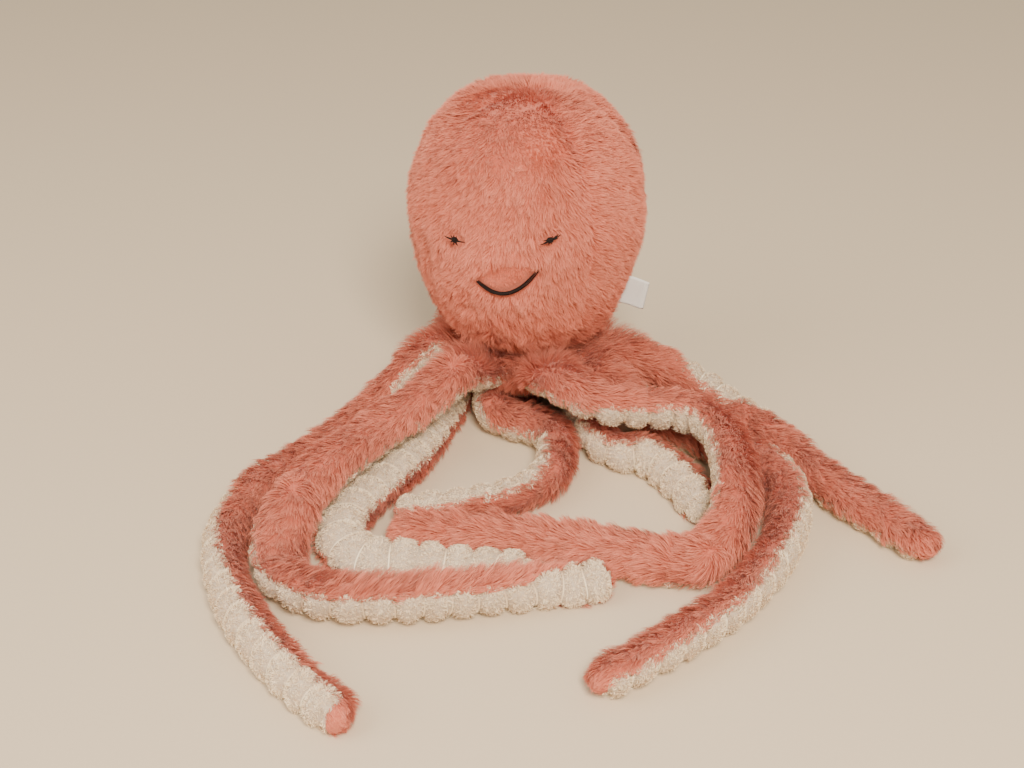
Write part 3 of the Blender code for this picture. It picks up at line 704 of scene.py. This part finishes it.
def cream_tufts(tube, number, s0, s1, per_mm2):
    """Short curly chenille tufts, thick on the ribs and thin in the grooves."""
    count = int((s1 - s0) * math.pi * 10.0 * MM * 1e6 * per_mm2 * DENSE)
    s = rng.uniform(s0, s1, count)
    a = rng.uniform(math.pi - 0.06, 2 * math.pi + 0.06, count)
    pos, nor, along, around = tube.surface(s, a)
    keep = (nor[:, 2] > -0.45) | (rng.random(count) < 0.4)
    keep &= s < tube.length - CORAL_TIP.get(number, 0.0) + 1.2 * MM * np.sin(a * 9)
    s, a, pos, nor, along, around = s[keep], a[keep], pos[keep], nor[keep], along[keep], around[keep]
    count = len(s)
    grid = np.stack([s, a * 0.010], 1)
    pos = pos + nor * skin_offset(tube, s, a, number)[:, None]
    phase = rib_phase(s, a, number)
    deep = 1 - smoothstep(np.abs(np.sin(math.pi * phase)), 0.10, 0.55)     # 1 in the grooves
    edge = smoothstep(np.abs(np.cos(a)), 0.72, 0.99)
    within = (phase - np.floor(phase) - 0.5) * 2
    flow = unit(along * (0.7 * within + 0.7 * waves(grid, 5 * MM, 500 + number))[:, None]
                + around * (0.6 * np.cos(a) + 0.7 * waves(grid, 5 * MM, 520 + number))[:, None])
    length = (2.5 * (1 - 0.62 * deep) + 0.9 * edge) * (1 + 0.22 * waves(grid, 7 * MM, 540 + number)) * MM
    curve, lock = grow(pos, nor, flow, length, 0.10, 2.1, curl=0.35 * MM, turn=0.9,
                       clumps=((1.1 * MM, 0.55),), where=grid, sink=0.3 * MM)
    # tone drops in the grooves: painted shade between the ribs
    tone = np.clip(lock_tone(lock, 0.9) + 0.08 - 0.4 * deep, 0, 1)
    width = rng.uniform(0.28, 0.48, count) * MM * FAT
    cell = (np.floor((s - s0) / max(s1 - s0, 1e-6) * 31.99).astype(int)
            + 32 * np.clip(((a - math.pi + 0.1) / (math.pi + 0.2) * 32).astype(int), 0, 31))
    return curve, width, rng.normal(0, 0.6, count), nor, tone, np.zeros(count), cell


def groove_threads(tube, number, s0, s1):
    """The stitching that holds the ribs: a fine pale thread across each groove."""
    first, last = int(s0 / RIB) - 1, int(s1 / RIB) + 2
    lines = []
    for k in range(first, last):
        a = np.linspace(math.pi + 0.20, 2 * math.pi - 0.20, 15)
        s = np.full(15, (k - 0.13 * number) * RIB)
        s = s - (rib_phase(s, a, number) - k) * RIB
        if s.min() < s0 + 0.4 * MM or s.max() > min(s1, tube.length - 9 * MM) - 0.4 * MM:
            continue
        pos, nor, _, _ = tube.surface(s, a)
        lines.append((pos + nor * (skin_offset(tube, s, a, number) + 1.35 * MM)[:, None], nor[7]))
    if not lines:
        return None
    n = len(lines)
    return (np.stack([line for line, _ in lines]), np.full(n, 0.8 * MM), np.zeros(n),
            np.stack([nor for _, nor in lines]), np.full(n, 0.95), np.zeros(n), np.arange(n) * 33, 0.05)


def wear(obj, how):
    """Rides with its body, or else has its placement applied to the mesh."""
    if how[0] == "ride":
        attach(obj, how[1])
    else:
        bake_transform(obj)
    return obj


def tentacle_zones(tube, number):
    """(name, from, to, how it moves, nodes it stands for) for each stretch."""
    root = "tentacle_%d_root" % number if number in ROOT_MOVES else "base"
    end = "tentacle_%d_end" % number
    half = 12 * MM
    point = lambda s: tube.frame(np.array([s]))[0][0]
    zones = []
    start = -7 * MM
    if number in ROOT_MOVES:
        zones.append(("hip", start, 14 * MM,
                      ("blend", "base", root, point(0.0), point(14 * MM)), ()))
        start = 14 * MM
    parts = ("top", "underside", "filling")
    zones.append(("root", start, tube.split - half, ("ride", root),
                  ["tentacle_%d_%s_root" % (number, k) for k in parts]))
    zones.append(("bend", tube.split - half, tube.split + half,
                  ("blend", root, end, point(tube.split - half), point(tube.split + half)), ()))
    zones.append(("end", tube.split + half, tube.length, ("ride", end),
                  ["tentacle_%d_%s_end" % (number, k) for k in parts]))
    return zones


TUBES = {n: Tube(spec) for n, spec in TENTACLES.items()}
for number, tube in TUBES.items():
    for zone, s0, s1, how, stands_for in tentacle_zones(tube, number):
        name = "tentacle_%d_%s" % (number, zone)
        skin = skin_mesh(name + "_skin", tube, number, s0, s1, zone == "end")
        wear(skin, how)
        if stands_for:
            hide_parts(*stands_for)
        pile = Pile()
        pile.add(*coral_strands(tube, number, s0, s1, 2.7))
        wear(pile.build(name + "_coral_pile", "coral"), how)
        tufts = Pile()
        tufts.add(*cream_tufts(tube, number, s0, s1, 3.3))
        stitches = groove_threads(tube, number, s0, s1)
        if stitches:
            tufts.add(*stitches)
        wear(tufts.build(name + "_cream_pile", "cream"), how)

# ------------------------------------------------------------------- the head
HEAD_RADIUS, HEAD_MID_Z, HEAD_TOP_Z = 61.0 * MM, 119.0 * MM, 185.0 * MM
HEAD_RIM_Z, HEAD_RIM_RADIUS, NECK_BALL_Z = 51.5 * MM, 30.0 * MM, 44.6 * MM
FACE_AZIMUTH = 257.0
EYES = ((234.7, 124.5 * MM), (279.9, 129.5 * MM))
MOUTH_AZ, MOUTH_Z, MOUTH_DROP = (245.2, 275.2), (104.0 * MM, 113.5 * MM), 10.2 * MM
SEAMS = [math.radians(d) for d in (212.4, 301.6, 345.9, 168.1)]


def head_profile():
    out = [(0.0, HEAD_TOP_Z + 0.2 * MM)]
    for k in range(1, 15):
        a = math.radians(90 - 90 * k / 14)
        out.append((HEAD_RADIUS * math.cos(a) ** 0.84,
                    HEAD_MID_Z + (HEAD_TOP_Z - HEAD_MID_Z) * math.sin(a) ** 0.84))
    drop = HEAD_MID_Z - HEAD_RIM_Z
    for k in range(1, 15):
        t = k / 14
        z = HEAD_MID_Z - drop * math.sin(math.radians(90 * t)) ** 1.05
        f = (HEAD_MID_Z - z) / drop
        out.append((HEAD_RIM_RADIUS + (HEAD_RADIUS - HEAD_RIM_RADIUS) * (1 - f ** 2.2) ** (1 / 1.6), z))
    out += [(24 * MM, 49.6 * MM), (10 * MM, NECK_BALL_Z + 1.0 * MM), (0.0, NECK_BALL_Z)]
    return np.array(out)


PROFILE = head_profile()
PROFILE_ARC = np.concatenate([[0.0], np.cumsum(np.linalg.norm(np.diff(PROFILE, axis=0), axis=1))])
HEAD_ARC = PROFILE_ARC[-1]


def head_at(m):
    """Radius, height and outward slope of the head's outline at arc length m from the crown."""
    r = np.interp(m, PROFILE_ARC, PROFILE[:, 0])
    z = np.interp(m, PROFILE_ARC, PROFILE[:, 1])
    e = 3.0 * MM
    dr = np.interp(m + e, PROFILE_ARC, PROFILE[:, 0]) - np.interp(m - e, PROFILE_ARC, PROFILE[:, 0])
    dz = np.interp(m + e, PROFILE_ARC, PROFILE[:, 1]) - np.interp(m - e, PROFILE_ARC, PROFILE[:, 1])
    run = np.maximum(np.hypot(dr, dz), 1e-9)
    return r, z, dr / run, dz / run


def arc_of_height(z):
    side = PROFILE[:-3]
    order = np.argsort(side[:, 1])
    return np.interp(z, side[order, 1], PROFILE_ARC[:-3][order])


def head_surface(az, m):
    r, z, dr, dz = head_at(m)
    c, s = np.cos(az), np.sin(az)
    pos = np.stack([r * c, r * s, z], 1)
    down = np.stack([dr * c, dr * s, dz], 1)
    around = np.stack([-s, c, np.zeros_like(c)], 1)
    normal = unit(np.stack([-dz * c, -dz * s, dr], 1))
    return pos, normal, down, around


def face_point(az_deg, z, out=0.0):
    pos, nor, _, _ = head_surface(np.array([math.radians(az_deg)]), arc_of_height(np.array([z])))
    return pos[0] + nor[0] * out


def mouth_line(count):
    pts = []
    for k in range(count):
        t = k / (count - 1)
        az = MOUTH_AZ[0] + (MOUTH_AZ[1] - MOUTH_AZ[0]) * t
        z = MOUTH_Z[0] + (MOUTH_Z[1] - MOUTH_Z[0]) * t - MOUTH_DROP * (1 - (2 * t - 1) ** 2)
        pts.append(face_point(az, z))
    return np.array(pts)


MOUTH = mouth_line(60)
EYE_POINTS = np.array([face_point(az, z) for az, z in EYES])


def distance_to(points, targets):
    best = np.full(len(points), 1e9)
    for t in targets:
        best = np.minimum(best, np.linalg.norm(points - t, axis=1))
    return best


def seam_distance(az, r):
    best = np.full(len(az), 1e9)
    for s in SEAMS:
        d = (az - s + math.pi) % (2 * math.pi) - math.pi
        best = np.minimum(best, np.abs(d) * r)
    return best


def head_offset(az, pos, r):
    """Soft lumps, the seam grooves, and the dents of the eye and mouth stitches."""
    off = waves(pos, 55 * MM, 700) * 0.9 * MM + waves(pos, 24 * MM, 701) * 0.45 * MM
    off -= 1.3 * MM * np.exp(-(seam_distance(az, r) / (3.0 * MM)) ** 2) * smoothstep(r, 4 * MM, 20 * MM)
    off -= 1.6 * MM * np.exp(-(distance_to(pos, EYE_POINTS) / (5.0 * MM)) ** 2)
    off -= 0.8 * MM * np.exp(-(distance_to(pos, MOUTH) / (2.6 * MM)) ** 2)
    side = (az - math.radians(259.0)) * r
    off += 1.9 * MM * np.exp(-(side / (22 * MM)) ** 2 - ((pos[:, 2] - 117 * MM) / (7 * MM)) ** 2)
    off -= 1.5 * MM * np.exp(-(side / (26 * MM)) ** 2 - ((pos[:, 2] - 85 * MM + 0.10 * side) / (4 * MM)) ** 2)
    return off


def muzzle_weight(az, z, soft):
    """1 in the clipped field between the smile and the longer pile above it."""
    t = (np.degrees(az) - MOUTH_AZ[0]) / (MOUTH_AZ[1] - MOUTH_AZ[0])
    arch = np.clip(1 - (2 * t - 1) ** 2, -1, 1)
    chord = MOUTH_Z[0] + (MOUTH_Z[1] - MOUTH_Z[0]) * t
    above = chord + (8.0 * arch + 0.8) * MM - z
    below = z - (chord - MOUTH_DROP * arch - 1.2 * MM)
    side = np.minimum(t + 0.05, 1.05 - t) * 32 * MM
    return smoothstep(np.minimum(np.minimum(above, below), side), -soft, soft), above


def head_skin(name, az0, az1):
    cols = max(4, int((az1 - az0) / math.radians(2.2)))
    rows = 90
    azs = np.linspace(az0, az1, cols + 1)
    ms = np.linspace(0.8 * MM, HEAD_ARC - 1.0 * MM, rows)
    az = np.tile(azs, rows)
    m = np.repeat(ms, cols + 1)
    pos, nor, _, _ = head_surface(az, m)
    pos = pos + nor * head_offset(az, pos, np.hypot(pos[:, 0], pos[:, 1]))[:, None]
    i = np.arange(rows - 1)[:, None] * (cols + 1)
    j = np.arange(cols)[None, :]
    quads = np.stack([i + j, i + cols + 1 + j, i + cols + 2 + j, i + j + 1], 2).reshape(-1, 4)
    obj = mesh_object(name, pos, None, quads)
    bake_map(obj.data, np.stack([(az - az0) / (az1 - az0) * 0.98 + 0.01, 0.99 - 0.98 * m / HEAD_ARC], 1))
    obj.data.materials.append(MAT["coral_skin"])
    return obj


FACE = math.radians(FACE_AZIMUTH)


def head_strands(az0, az1, per_mm2, panel):
    """Pile of one head panel, combed down the panel, short round the face."""
    count = int((az1 - az0) * 61 * (HEAD_ARC / MM - 8) * per_mm2 * DENSE)
    az = rng.uniform(az0, az1, count)
    m = rng.uniform(0.0, HEAD_ARC - 8 * MM, count)
    r0 = head_at(m)[0]
    keep = rng.random(count) < r0 / HEAD_RADIUS
    keep &= waves(head_surface(az, m)[0], 5 * MM, 729) < rng.uniform(0.75, 1.35, count)
    az, m = az[keep], m[keep]
    count = len(az)
    pos, nor, down, around = head_surface(az, m)
    r = np.hypot(pos[:, 0], pos[:, 1])
    pos = pos + nor * head_offset(az, pos, r)[:, None]
    mid = (az0 + az1) / 2
    x = (az - mid) * r                                    # metres from the panel's middle
    half = (az1 - az0) / 2 * np.maximum(r, 1e-4)
    swirl = waves(pos, 48 * MM, 720)
    fine = waves(pos, 20 * MM, 721)
    if panel == "front":
        fd, fa = 1.0 + 0 * r, 0.38 * x / (40 * MM) + 0.42 * swirl + 0.2 * fine
    elif panel == "right":
        fd, fa = 0.45 + 0.3 * fine, 0.95 + 0.35 * swirl
    elif panel == "left":
        fd, fa = 0.9 + 0.2 * fine, -0.55 + 0.35 * swirl
    else:
        fd, fa = 1.0 + 0 * r, 0.35 * swirl + 0.25 * fine
    low = smoothstep(90 * MM - pos[:, 2], 0.0, 30 * MM)   # unruly towards the neck
    fa = fa + low * 0.9 * waves(pos, 17 * MM, 722) + 0.55 * waves(pos, 7 * MM, 727)
    fd = fd - low * 0.5 * (1 + waves(pos, 15 * MM, 723))
    flow = unit(down * fd[:, None] + around * fa[:, None])
    # over the crown each panel's pile runs one way, and doesn't start from a point
    over = (1 - smoothstep(m, 0.04 * HEAD_ARC, 0.24 * HEAD_ARC))[:, None]
    way = np.array(CROWN_FLOW[panel]) + 0.5 * np.stack([swirl, fine, 0 * fine], 1)
    way = unit(way - nor * np.sum(way * nor, 1)[:, None])
    flow = unit(flow * (1 - over) + way * over)
    crown = over[:, 0]
    d_mouth = distance_to(pos, MOUTH[::3])
    d_eye = distance_to(pos, EYE_POINTS)
    clipped, above = muzzle_weight(az, pos[:, 2], 1.3 * MM)
    brow = muzzle_weight(az, pos[:, 2] - 4.5 * MM, 2.5 * MM)[0] * smoothstep(-above, 0.0, 2.0 * MM)
    patch = np.zeros(count)
    for spot, size in CROWN_PATCHES:
        patch = np.maximum(patch, np.exp(-(np.linalg.norm(pos - spot, axis=1) / size) ** 2))
    patch = np.clip(2.1 * patch * (0.85 + 0.45 * waves(pos, 7 * MM, 725)), 0, 1)
    # along the right seam the pile stands up, and its tone is raised there as a painted highlight
    ridge = np.exp(-((az - SEAMS[1]) * r / (5 * MM)) ** 2) * smoothstep(pos[:, 2], 100 * MM, 130 * MM)
    length = 5.7 * MM * (1 + 0.2 * waves(pos, 24 * MM, 724) + 0.22 * waves(pos, 6 * MM, 728)) * (1 + 0.10 * low)
    length *= 1 + 0.55 * smoothstep(68 * MM - pos[:, 2], 0.0, 10 * MM)      # hangs over the neck seam
    length *= (1 - 0.62 * clipped) * (1 - 0.42 * patch)
    length *= 0.16 + 0.84 * smoothstep(d_mouth, 0.9 * MM, 5.0 * MM)
    length *= 0.35 + 0.65 * smoothstep(d_eye, 1.8 * MM, 8.0 * MM)
    lean = 0.46 + 0.32 * waves(pos, 7 * MM, 726) - 0.15 * crown - 0.15 * brow - 0.25 * ridge
    bend = 1.28 + 0.12 * swirl + 0.18 * waves(pos, 6 * MM, 730) - 0.15 * crown - 0.2 * low - 0.25 * brow - 0.25 * ridge
    curve, lock = grow(pos, nor, flow, length, lean, bend, curl=(0.6 + 0.8 * low) * MM, turn=0.4,
                       knots=3, clumps=((3.2 * MM, 0.20), (1.4 * MM, 0.60)))
    # ridge raises the tone: a painted highlight along the right seam
    tone = np.clip(lock_tone(lock, 0.7) + 0.22 * ridge - 0.42 * patch, 0, 1)
    # chin: darker towards the bottom of the head
    chin = 1 - smoothstep(pos[:, 2], 72 * MM, 98 * MM)
    worn = np.clip(patch + 0.50 * clipped + 0.25 * chin + 0.20 * smoothstep(fine, 0.3, 1.2), 0, 1)
    width = rng.uniform(0.24, 0.42, count) * MM * FAT
    cell = (np.floor((az - az0) / (az1 - az0) * 31.99).astype(int)
            + 32 * np.clip((m / HEAD_ARC * 32).astype(int), 0, 31))
    return curve, width, rng.normal(0, 0.45, count), nor, tone, worn, cell


# redder, flattened patches on the front of the crown, and which way its pile runs
CROWN_PATCHES = ((np.array([-0.0225, -0.0075, 0.182]), 9 * MM), (np.array([-0.014, -0.020, 0.181]), 7 * MM),
                 (np.array([-0.001, -0.021, 0.183]), 8 * MM), (np.array([0.004, -0.035, 0.177]), 9 * MM),
                 (np.array([0.007, -0.042, 0.171]), 9 * MM))
CROWN_FLOW = {"front": (-0.35, -1.0, 0.0), "left": (-1.0, -0.3, 0.0), "right": (1.0, -0.4, 0.0),
              "back_left": (-0.6, 0.8, 0.0), "back_right": (0.5, 0.9, 0.0)}

PANELS = (("front", 212.4, 301.6, "head_front_panel"), ("right", 301.6, 345.9, "head_right_panel"),
          ("left", 168.1, 212.4, "head_left_panel"), ("back_left", 77.0, 168.1, "head_back_panel"),
          ("back_right", -14.1, 77.0, None))
for panel, d0, d1, node in PANELS:
    az0, az1 = math.radians(d0), math.radians(d1)
    skin = head_skin("head_%s_skin" % panel, az0, az1)
    wear(skin, ("ride", "head"))
    if node:
        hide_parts(node)
    pile = Pile()
    pile.add(*head_strands(az0, az1, 3.0, panel))
    wear(pile.build("head_%s_pile" % panel, "coral"), ("ride", "head"))

# ------------------------------------------------------------------- the base
for node in ("base_disc", "bead_bag", "head_stuffing"):
    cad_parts[node].data.materials.clear()
    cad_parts[node].data.materials.append(MAT["cream_skin"])


def base_skin():
    prof = np.array([(16, 44.2), (24, 43.4), (30, 41.6), (33.6, 37.5), (34.2, 31), (33.6, 26),
                     (31.5, 23.4), (27, 22.2)]) * MM
    steps = 72
    az = np.repeat(np.arange(steps) * 2 * math.pi / steps, len(prof))
    rz = np.tile(prof, (steps, 1))
    pos = np.stack([rz[:, 0] * np.cos(az), rz[:, 0] * np.sin(az), rz[:, 1]], 1)
    n = len(prof)
    i = np.arange(steps)[:, None] * n
    nx = ((np.arange(steps) + 1) % steps)[:, None] * n
    j = np.arange(n - 1)[None, :]
    quads = np.stack([i + j + 1, nx + j + 1, nx + j, i + j], 2).reshape(-1, 4)
    obj = mesh_object("base_skin", pos, None, quads)
    bake_map(obj.data, np.stack([az / (2 * math.pi) * 0.98 + 0.01,
                                 np.tile(np.linspace(0.02, 0.98, n), steps)], 1))
    obj.data.materials.append(MAT["coral_skin"])
    return obj


def base_strands(per_mm2):
    count = int(2 * math.pi * 31 * 34 * per_mm2 * DENSE)
    az = rng.uniform(0, 2 * math.pi, count)
    t = rng.random(count)
    prof = np.array([(18, 44.0), (24, 43.4), (30, 41.6), (33.6, 37.5), (34.2, 31), (33.6, 26),
                     (31.5, 23.4)]) * MM
    arc = np.concatenate([[0], np.cumsum(np.linalg.norm(np.diff(prof, axis=0), axis=1))])
    q = t * arc[-1]
    r, z = np.interp(q, arc, prof[:, 0]), np.interp(q, arc, prof[:, 1])
    e = 1.5 * MM
    dr = np.interp(q + e, arc, prof[:, 0]) - np.interp(q - e, arc, prof[:, 0])
    dz = np.interp(q + e, arc, prof[:, 1]) - np.interp(q - e, arc, prof[:, 1])
    run = np.maximum(np.hypot(dr, dz), 1e-9)
    dr, dz = dr / run, dz / run
    c, s = np.cos(az), np.sin(az)
    pos = np.stack([r * c, r * s, z], 1)
    nor = np.stack([-dz * c, -dz * s, dr], 1)
    down = np.stack([dr * c, dr * s, dz], 1)
    around = np.stack([-s, c, 0 * c], 1)
    flow = unit(down + around * (0.7 * waves(pos, 18 * MM, 800))[:, None])
    upper = smoothstep(z, 36 * MM, 42 * MM)
    curve, lock = grow(pos, nor, flow, (8.0 + 5.5 * upper) * MM, 0.6 - 0.4 * upper, 1.35 - 0.65 * upper,
                       curl=0.8 * MM, clumps=((2.0 * MM, 0.5),))
    cell = (az / (2 * math.pi) * 31.99).astype(int) + 32 * (t * 31.99).astype(int)
    return (curve, rng.uniform(0.26, 0.46, count) * MM * FAT, rng.normal(0, 0.45, count), nor,
            lock_tone(lock, 0.8), np.full(count, 0.3), cell)


skin = base_skin()
wear(skin, ("ride", "base"))
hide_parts("base_band")
pile = Pile()
pile.add(*base_strands(2.4))
wear(pile.build("base_pile", "coral"), ("ride", "base"))


# --------------------------------------------------------- face and the label
def tube_mesh(name, points, radii, sides=8, flat=1.0, normals=None):
    """A closed tube through points, flattened along normals by flat."""
    points = np.array(points, float)
    n = len(points)
    tan = unit(np.gradient(points, axis=0))
    ref = np.tile([0.0, 0.0, 1.0], (n, 1)) if normals is None else normals
    across = unit(np.cross(tan, ref))
    up = np.cross(across, tan)
    ang = np.arange(sides) * 2 * math.pi / sides
    ring = (across[:, None, :] * np.cos(ang)[None, :, None]
            + up[:, None, :] * (np.sin(ang) * flat)[None, :, None])
    verts = points[:, None, :] + ring * np.array(radii)[:, None, None]
    verts = np.concatenate([verts.reshape(-1, 3), points[:1] - tan[:1] * radii[0] * 0.4,
                            points[-1:] + tan[-1:] * radii[-1] * 0.4])
    i = np.arange(n - 1)[:, None] * sides
    j = np.arange(sides)[None, :]
    jn = (j + 1) % sides
    quads = np.stack([i + j, i + jn, i + sides + jn, i + sides + j], 2).reshape(-1, 4)
    k = np.arange(sides)
    last = (n - 1) * sides
    tris = np.concatenate([np.stack([np.full(sides, n * sides), (k + 1) % sides, k], 1),
                           np.stack([np.full(sides, n * sides + 1), last + k, last + (k + 1) % sides], 1)])
    return mesh_object(name, verts, tris, quads)


def join(objs, name):
    bpy.ops.object.select_all(action="DESELECT")
    for o in objs:
        o.select_set(True)
    bpy.context.view_layer.objects.active = objs[0]
    bpy.ops.object.join()
    out = bpy.context.view_layer.objects.active
    out.name = name
    out.data.name = name
    return out


def face_normals(points):
    az = np.arctan2(points[:, 1], points[:, 0])
    return head_surface(az, arc_of_height(points[:, 2]))[1]


# the smile: satin stitches, each a short thread laid across the line
line = mouth_line(64)
nor = face_normals(line)
tan = unit(np.gradient(line, axis=0))
cross = np.cross(nor, tan)
threads = []
for k in range(1, 63):
    t = k / 63
    wide = 1.05 * MM * min(1.0, 0.62 + 3.0 * min(t, 1 - t))
    slant = 0.45
    d = cross[k] + tan[k] * slant
    d /= np.linalg.norm(d)
    arc = np.linspace(-1, 1, 7)
    pts = np.array([line[k] + d * wide * x + nor[k] * (2.9 - 1.2 * x * x) * MM for x in arc])
    threads.append(tube_mesh("stitch", pts, np.full(7, 0.33 * MM), 6))
mouth = join(threads, "mouth_stitching")
mouth.data.materials.append(MAT["brown"])
wear(mouth, ("ride", "head"))
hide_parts("mouth")

# the eyes: a small knot of crossing threads with stray ends
for node, (az, z), spread in (("eye_left", EYES[0], 1.0), ("eye_right", EYES[1], 0.9)):
    centre = np.array(face_point(az, z, 2.7 * MM))
    n0 = face_normals(np.array([face_point(az, z)]))[0]
    right = np.cross([0, 0, 1.0], n0)
    right /= np.linalg.norm(right)
    upv = np.cross(n0, right)
    threads = []
    spokes = [(4, 6.8), (58, 3.0), (98, 2.8), (138, 3.0), (176, 6.4), (215, 3.2), (262, 2.8), (312, 3.4)] \
        if node == "eye_left" else \
        [(26, 6.0), (36, 5.2), (14, 4.2), (62, 2.6), (125, 2.0), (176, 3.4), (202, 5.6), (245, 2.4), (290, 2.4)]
    for deg, reach in spokes:
        d = right * math.cos(math.radians(deg)) + upv * math.sin(math.radians(deg))
        pts = np.array([centre - d * 0.6 * MM + n0 * 0.7 * MM,
                        centre + d * reach * 0.35 * MM + n0 * 1.25 * MM,
                        centre + d * reach * 0.7 * MM + n0 * 1.25 * MM,
                        centre + d * reach * MM + n0 * 0.9 * MM])
        threads.append(tube_mesh("thread", pts, np.array([0.50, 0.50, 0.34, 0.14]) * MM * spread, 6))
    for ring in range(3):
        ang = np.linspace(0.3 * ring, 5.6 + 0.3 * ring, 14)
        rad = (1.35 - 0.28 * ring) * MM
        pts = np.array([centre + (right * math.cos(x) * 1.15 + upv * math.sin(x) * 0.8) * rad
                        + n0 * (0.55 + 0.5 * ring) * MM for x in ang])
        threads.append(tube_mesh("thread", pts, np.full(14, 0.5 * MM), 6))
    eye = join(threads, node + "_knot")
    eye.data.materials.append(MAT["brown"])
    wear(eye, ("ride", "head"))
    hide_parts(node)


# the label: a folded ribbon, its two layers open at the far edge
def label_material():
    mat, nt, bsdf = nodes_of("plain_label_ribbon")
    coord = nt.nodes.new("ShaderNodeTexCoord")
    mapping = nt.nodes.new("ShaderNodeMapping")
    nt.links.new(coord.outputs["UV"], mapping.inputs["Vector"])
    waves_x = nt.nodes.new("ShaderNodeTexWave")
    waves_x.inputs["Scale"].default_value = 22.0
    waves_x.bands_direction = "X"
    waves_y = nt.nodes.new("ShaderNodeTexWave")
    waves_y.inputs["Scale"].default_value = 30.0
    waves_y.bands_direction = "Y"
    for w in (waves_x, waves_y):
        nt.links.new(mapping.outputs["Vector"], w.inputs["Vector"])
    both = mix_colour(nt, "MULTIPLY", 1.0, waves_x.outputs["Color"], waves_y.outputs["Color"])
    col = ramp(nt, [(0.0, (0.80, 0.79, 0.76)), (0.6, (0.90, 0.895, 0.87))], both)
    nt.links.new(col, bsdf.inputs["Base Color"])
    bump = nt.nodes.new("ShaderNodeBump")
    bump.inputs["Strength"].default_value = 0.35
    bump.inputs["Distance"].default_value = 0.00012
    nt.links.new(both, bump.inputs["Height"])
    nt.links.new(bump.outputs["Normal"], bsdf.inputs["Normal"])
    bsdf.inputs["Roughness"].default_value = 0.55
    bsdf.inputs["Sheen Weight"].default_value = 0.25
    return mat


MAT["label"] = label_material()
LABEL_AZ, LABEL_Z, LABEL_TILT = 346.0, 76.0 * MM, 10.0


def label_piece():
    place = Matrix.Translation(Vector(face_point(LABEL_AZ, LABEL_Z, 2.2 * MM))) @ \
        Matrix.Rotation(math.radians(LABEL_AZ - 4), 4, "Z") @ Matrix.Rotation(math.radians(LABEL_TILT), 4, "Y")
    cols, rows = 26, 18
    verts, uvs = [], []
    for i in range(cols + 1):
        for j in range(rows + 1):
            q = i / cols * 2 - 1                         # -1 front layer, 1 back layer
            x = (1 - abs(q)) * 14.0 - 1.6
            y = (q * 0.55 if abs(q) < 0.12 else math.copysign(0.42 + 0.10 * abs(q), q))
            y += 0.35 * math.sin(x * 0.22 + 0.4) + 0.12 * math.sin(j / rows * 5.0)
            zz = (j / rows - 0.5) * 17.2 + 0.15 * math.sin(x * 0.5)
            verts.append(place @ Vector((x * MM, y * MM, zz * MM)))
            uvs.append((i / cols, j / rows))
    verts = np.array([tuple(v) for v in verts])
    i = np.arange(cols)[:, None] * (rows + 1)
    j = np.arange(rows)[None, :]
    quads = np.stack([i + j, i + rows + 1 + j, i + rows + 2 + j, i + j + 1], 2).reshape(-1, 4)
    obj = mesh_object("side_label_ribbon", verts, None, quads)
    bake_map(obj.data, np.array(uvs) * 0.98 + 0.01)
    solid = obj.modifiers.new("Cloth", "SOLIDIFY")
    solid.thickness = 0.22 * MM
    solid.offset = 0
    obj.data.materials.append(MAT["label"])
    return obj


label = label_piece()
wear(label, ("ride", "label"))
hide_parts("side_label")


# --------------------------------------------------- floor, light and camera
def stage_material(name, colour):
    mat, nt, bsdf = nodes_of(name)
    nt.links.new(ramp(nt, [(0.3, tuple(c * 0.985 for c in colour)), (0.7, colour)], noise(nt, 500.0, 2.0)),
                 bsdf.inputs["Base Color"])
    bsdf.inputs["Roughness"].default_value = 0.9
    return mat


verts = [(-5.0, -5.0, 0.0), (5.0, -5.0, 0.0), (5.0, 5.0, 0.0), (-5.0, 5.0, 0.0)]
faces = [(0, 1, 2, 3)]
sweep = bpy.data.meshes.new("floor")
sweep.from_pydata(verts, [], faces)
sweep.update()
floor = bpy.data.objects.new("floor", sweep)
floor.data.materials.append(stage_material("pale_floor", (0.71, 0.580, 0.425)))
bpy.context.scene.collection.objects.link(floor)

world = bpy.data.worlds.new("studio")
world.use_nodes = True
world.node_tree.nodes["Background"].inputs["Color"].default_value = (1.0, 0.92, 0.79, 1.0)
world.node_tree.nodes["Background"].inputs["Strength"].default_value = 0.67
bpy.context.scene.world = world


def area(name, place, target, size, power, colour):
    lamp = bpy.data.lights.new(name, "AREA")
    lamp.size = size
    lamp.energy = power
    lamp.color = colour
    obj = bpy.data.objects.new(name, lamp)
    obj.location = place
    obj.rotation_euler = (Vector(target) - Vector(place)).to_track_quat("-Z", "Y").to_euler()
    bpy.context.scene.collection.objects.link(obj)


area("key", (0.16, -1.02, 1.05), (0.0, -0.08, 0.06), 0.40, 28.5, (1.0, 0.90, 0.75))
area("fill", (-0.95, -0.45, 0.85), (0.0, -0.05, 0.08), 0.9, 6.8, (1.0, 0.92, 0.80))

camera = bpy.data.objects.new("camera", bpy.data.cameras.new("camera"))
camera.data.sensor_width = 36.0
camera.data.lens = 36.0 * 1500.0 / 1024.0
camera.location = (-0.0081, -0.7362, 0.4657)
camera.rotation_euler = (math.radians(58.0), 0.0, 0.0)
bpy.context.scene.collection.objects.link(camera)
bpy.context.scene.camera = camera
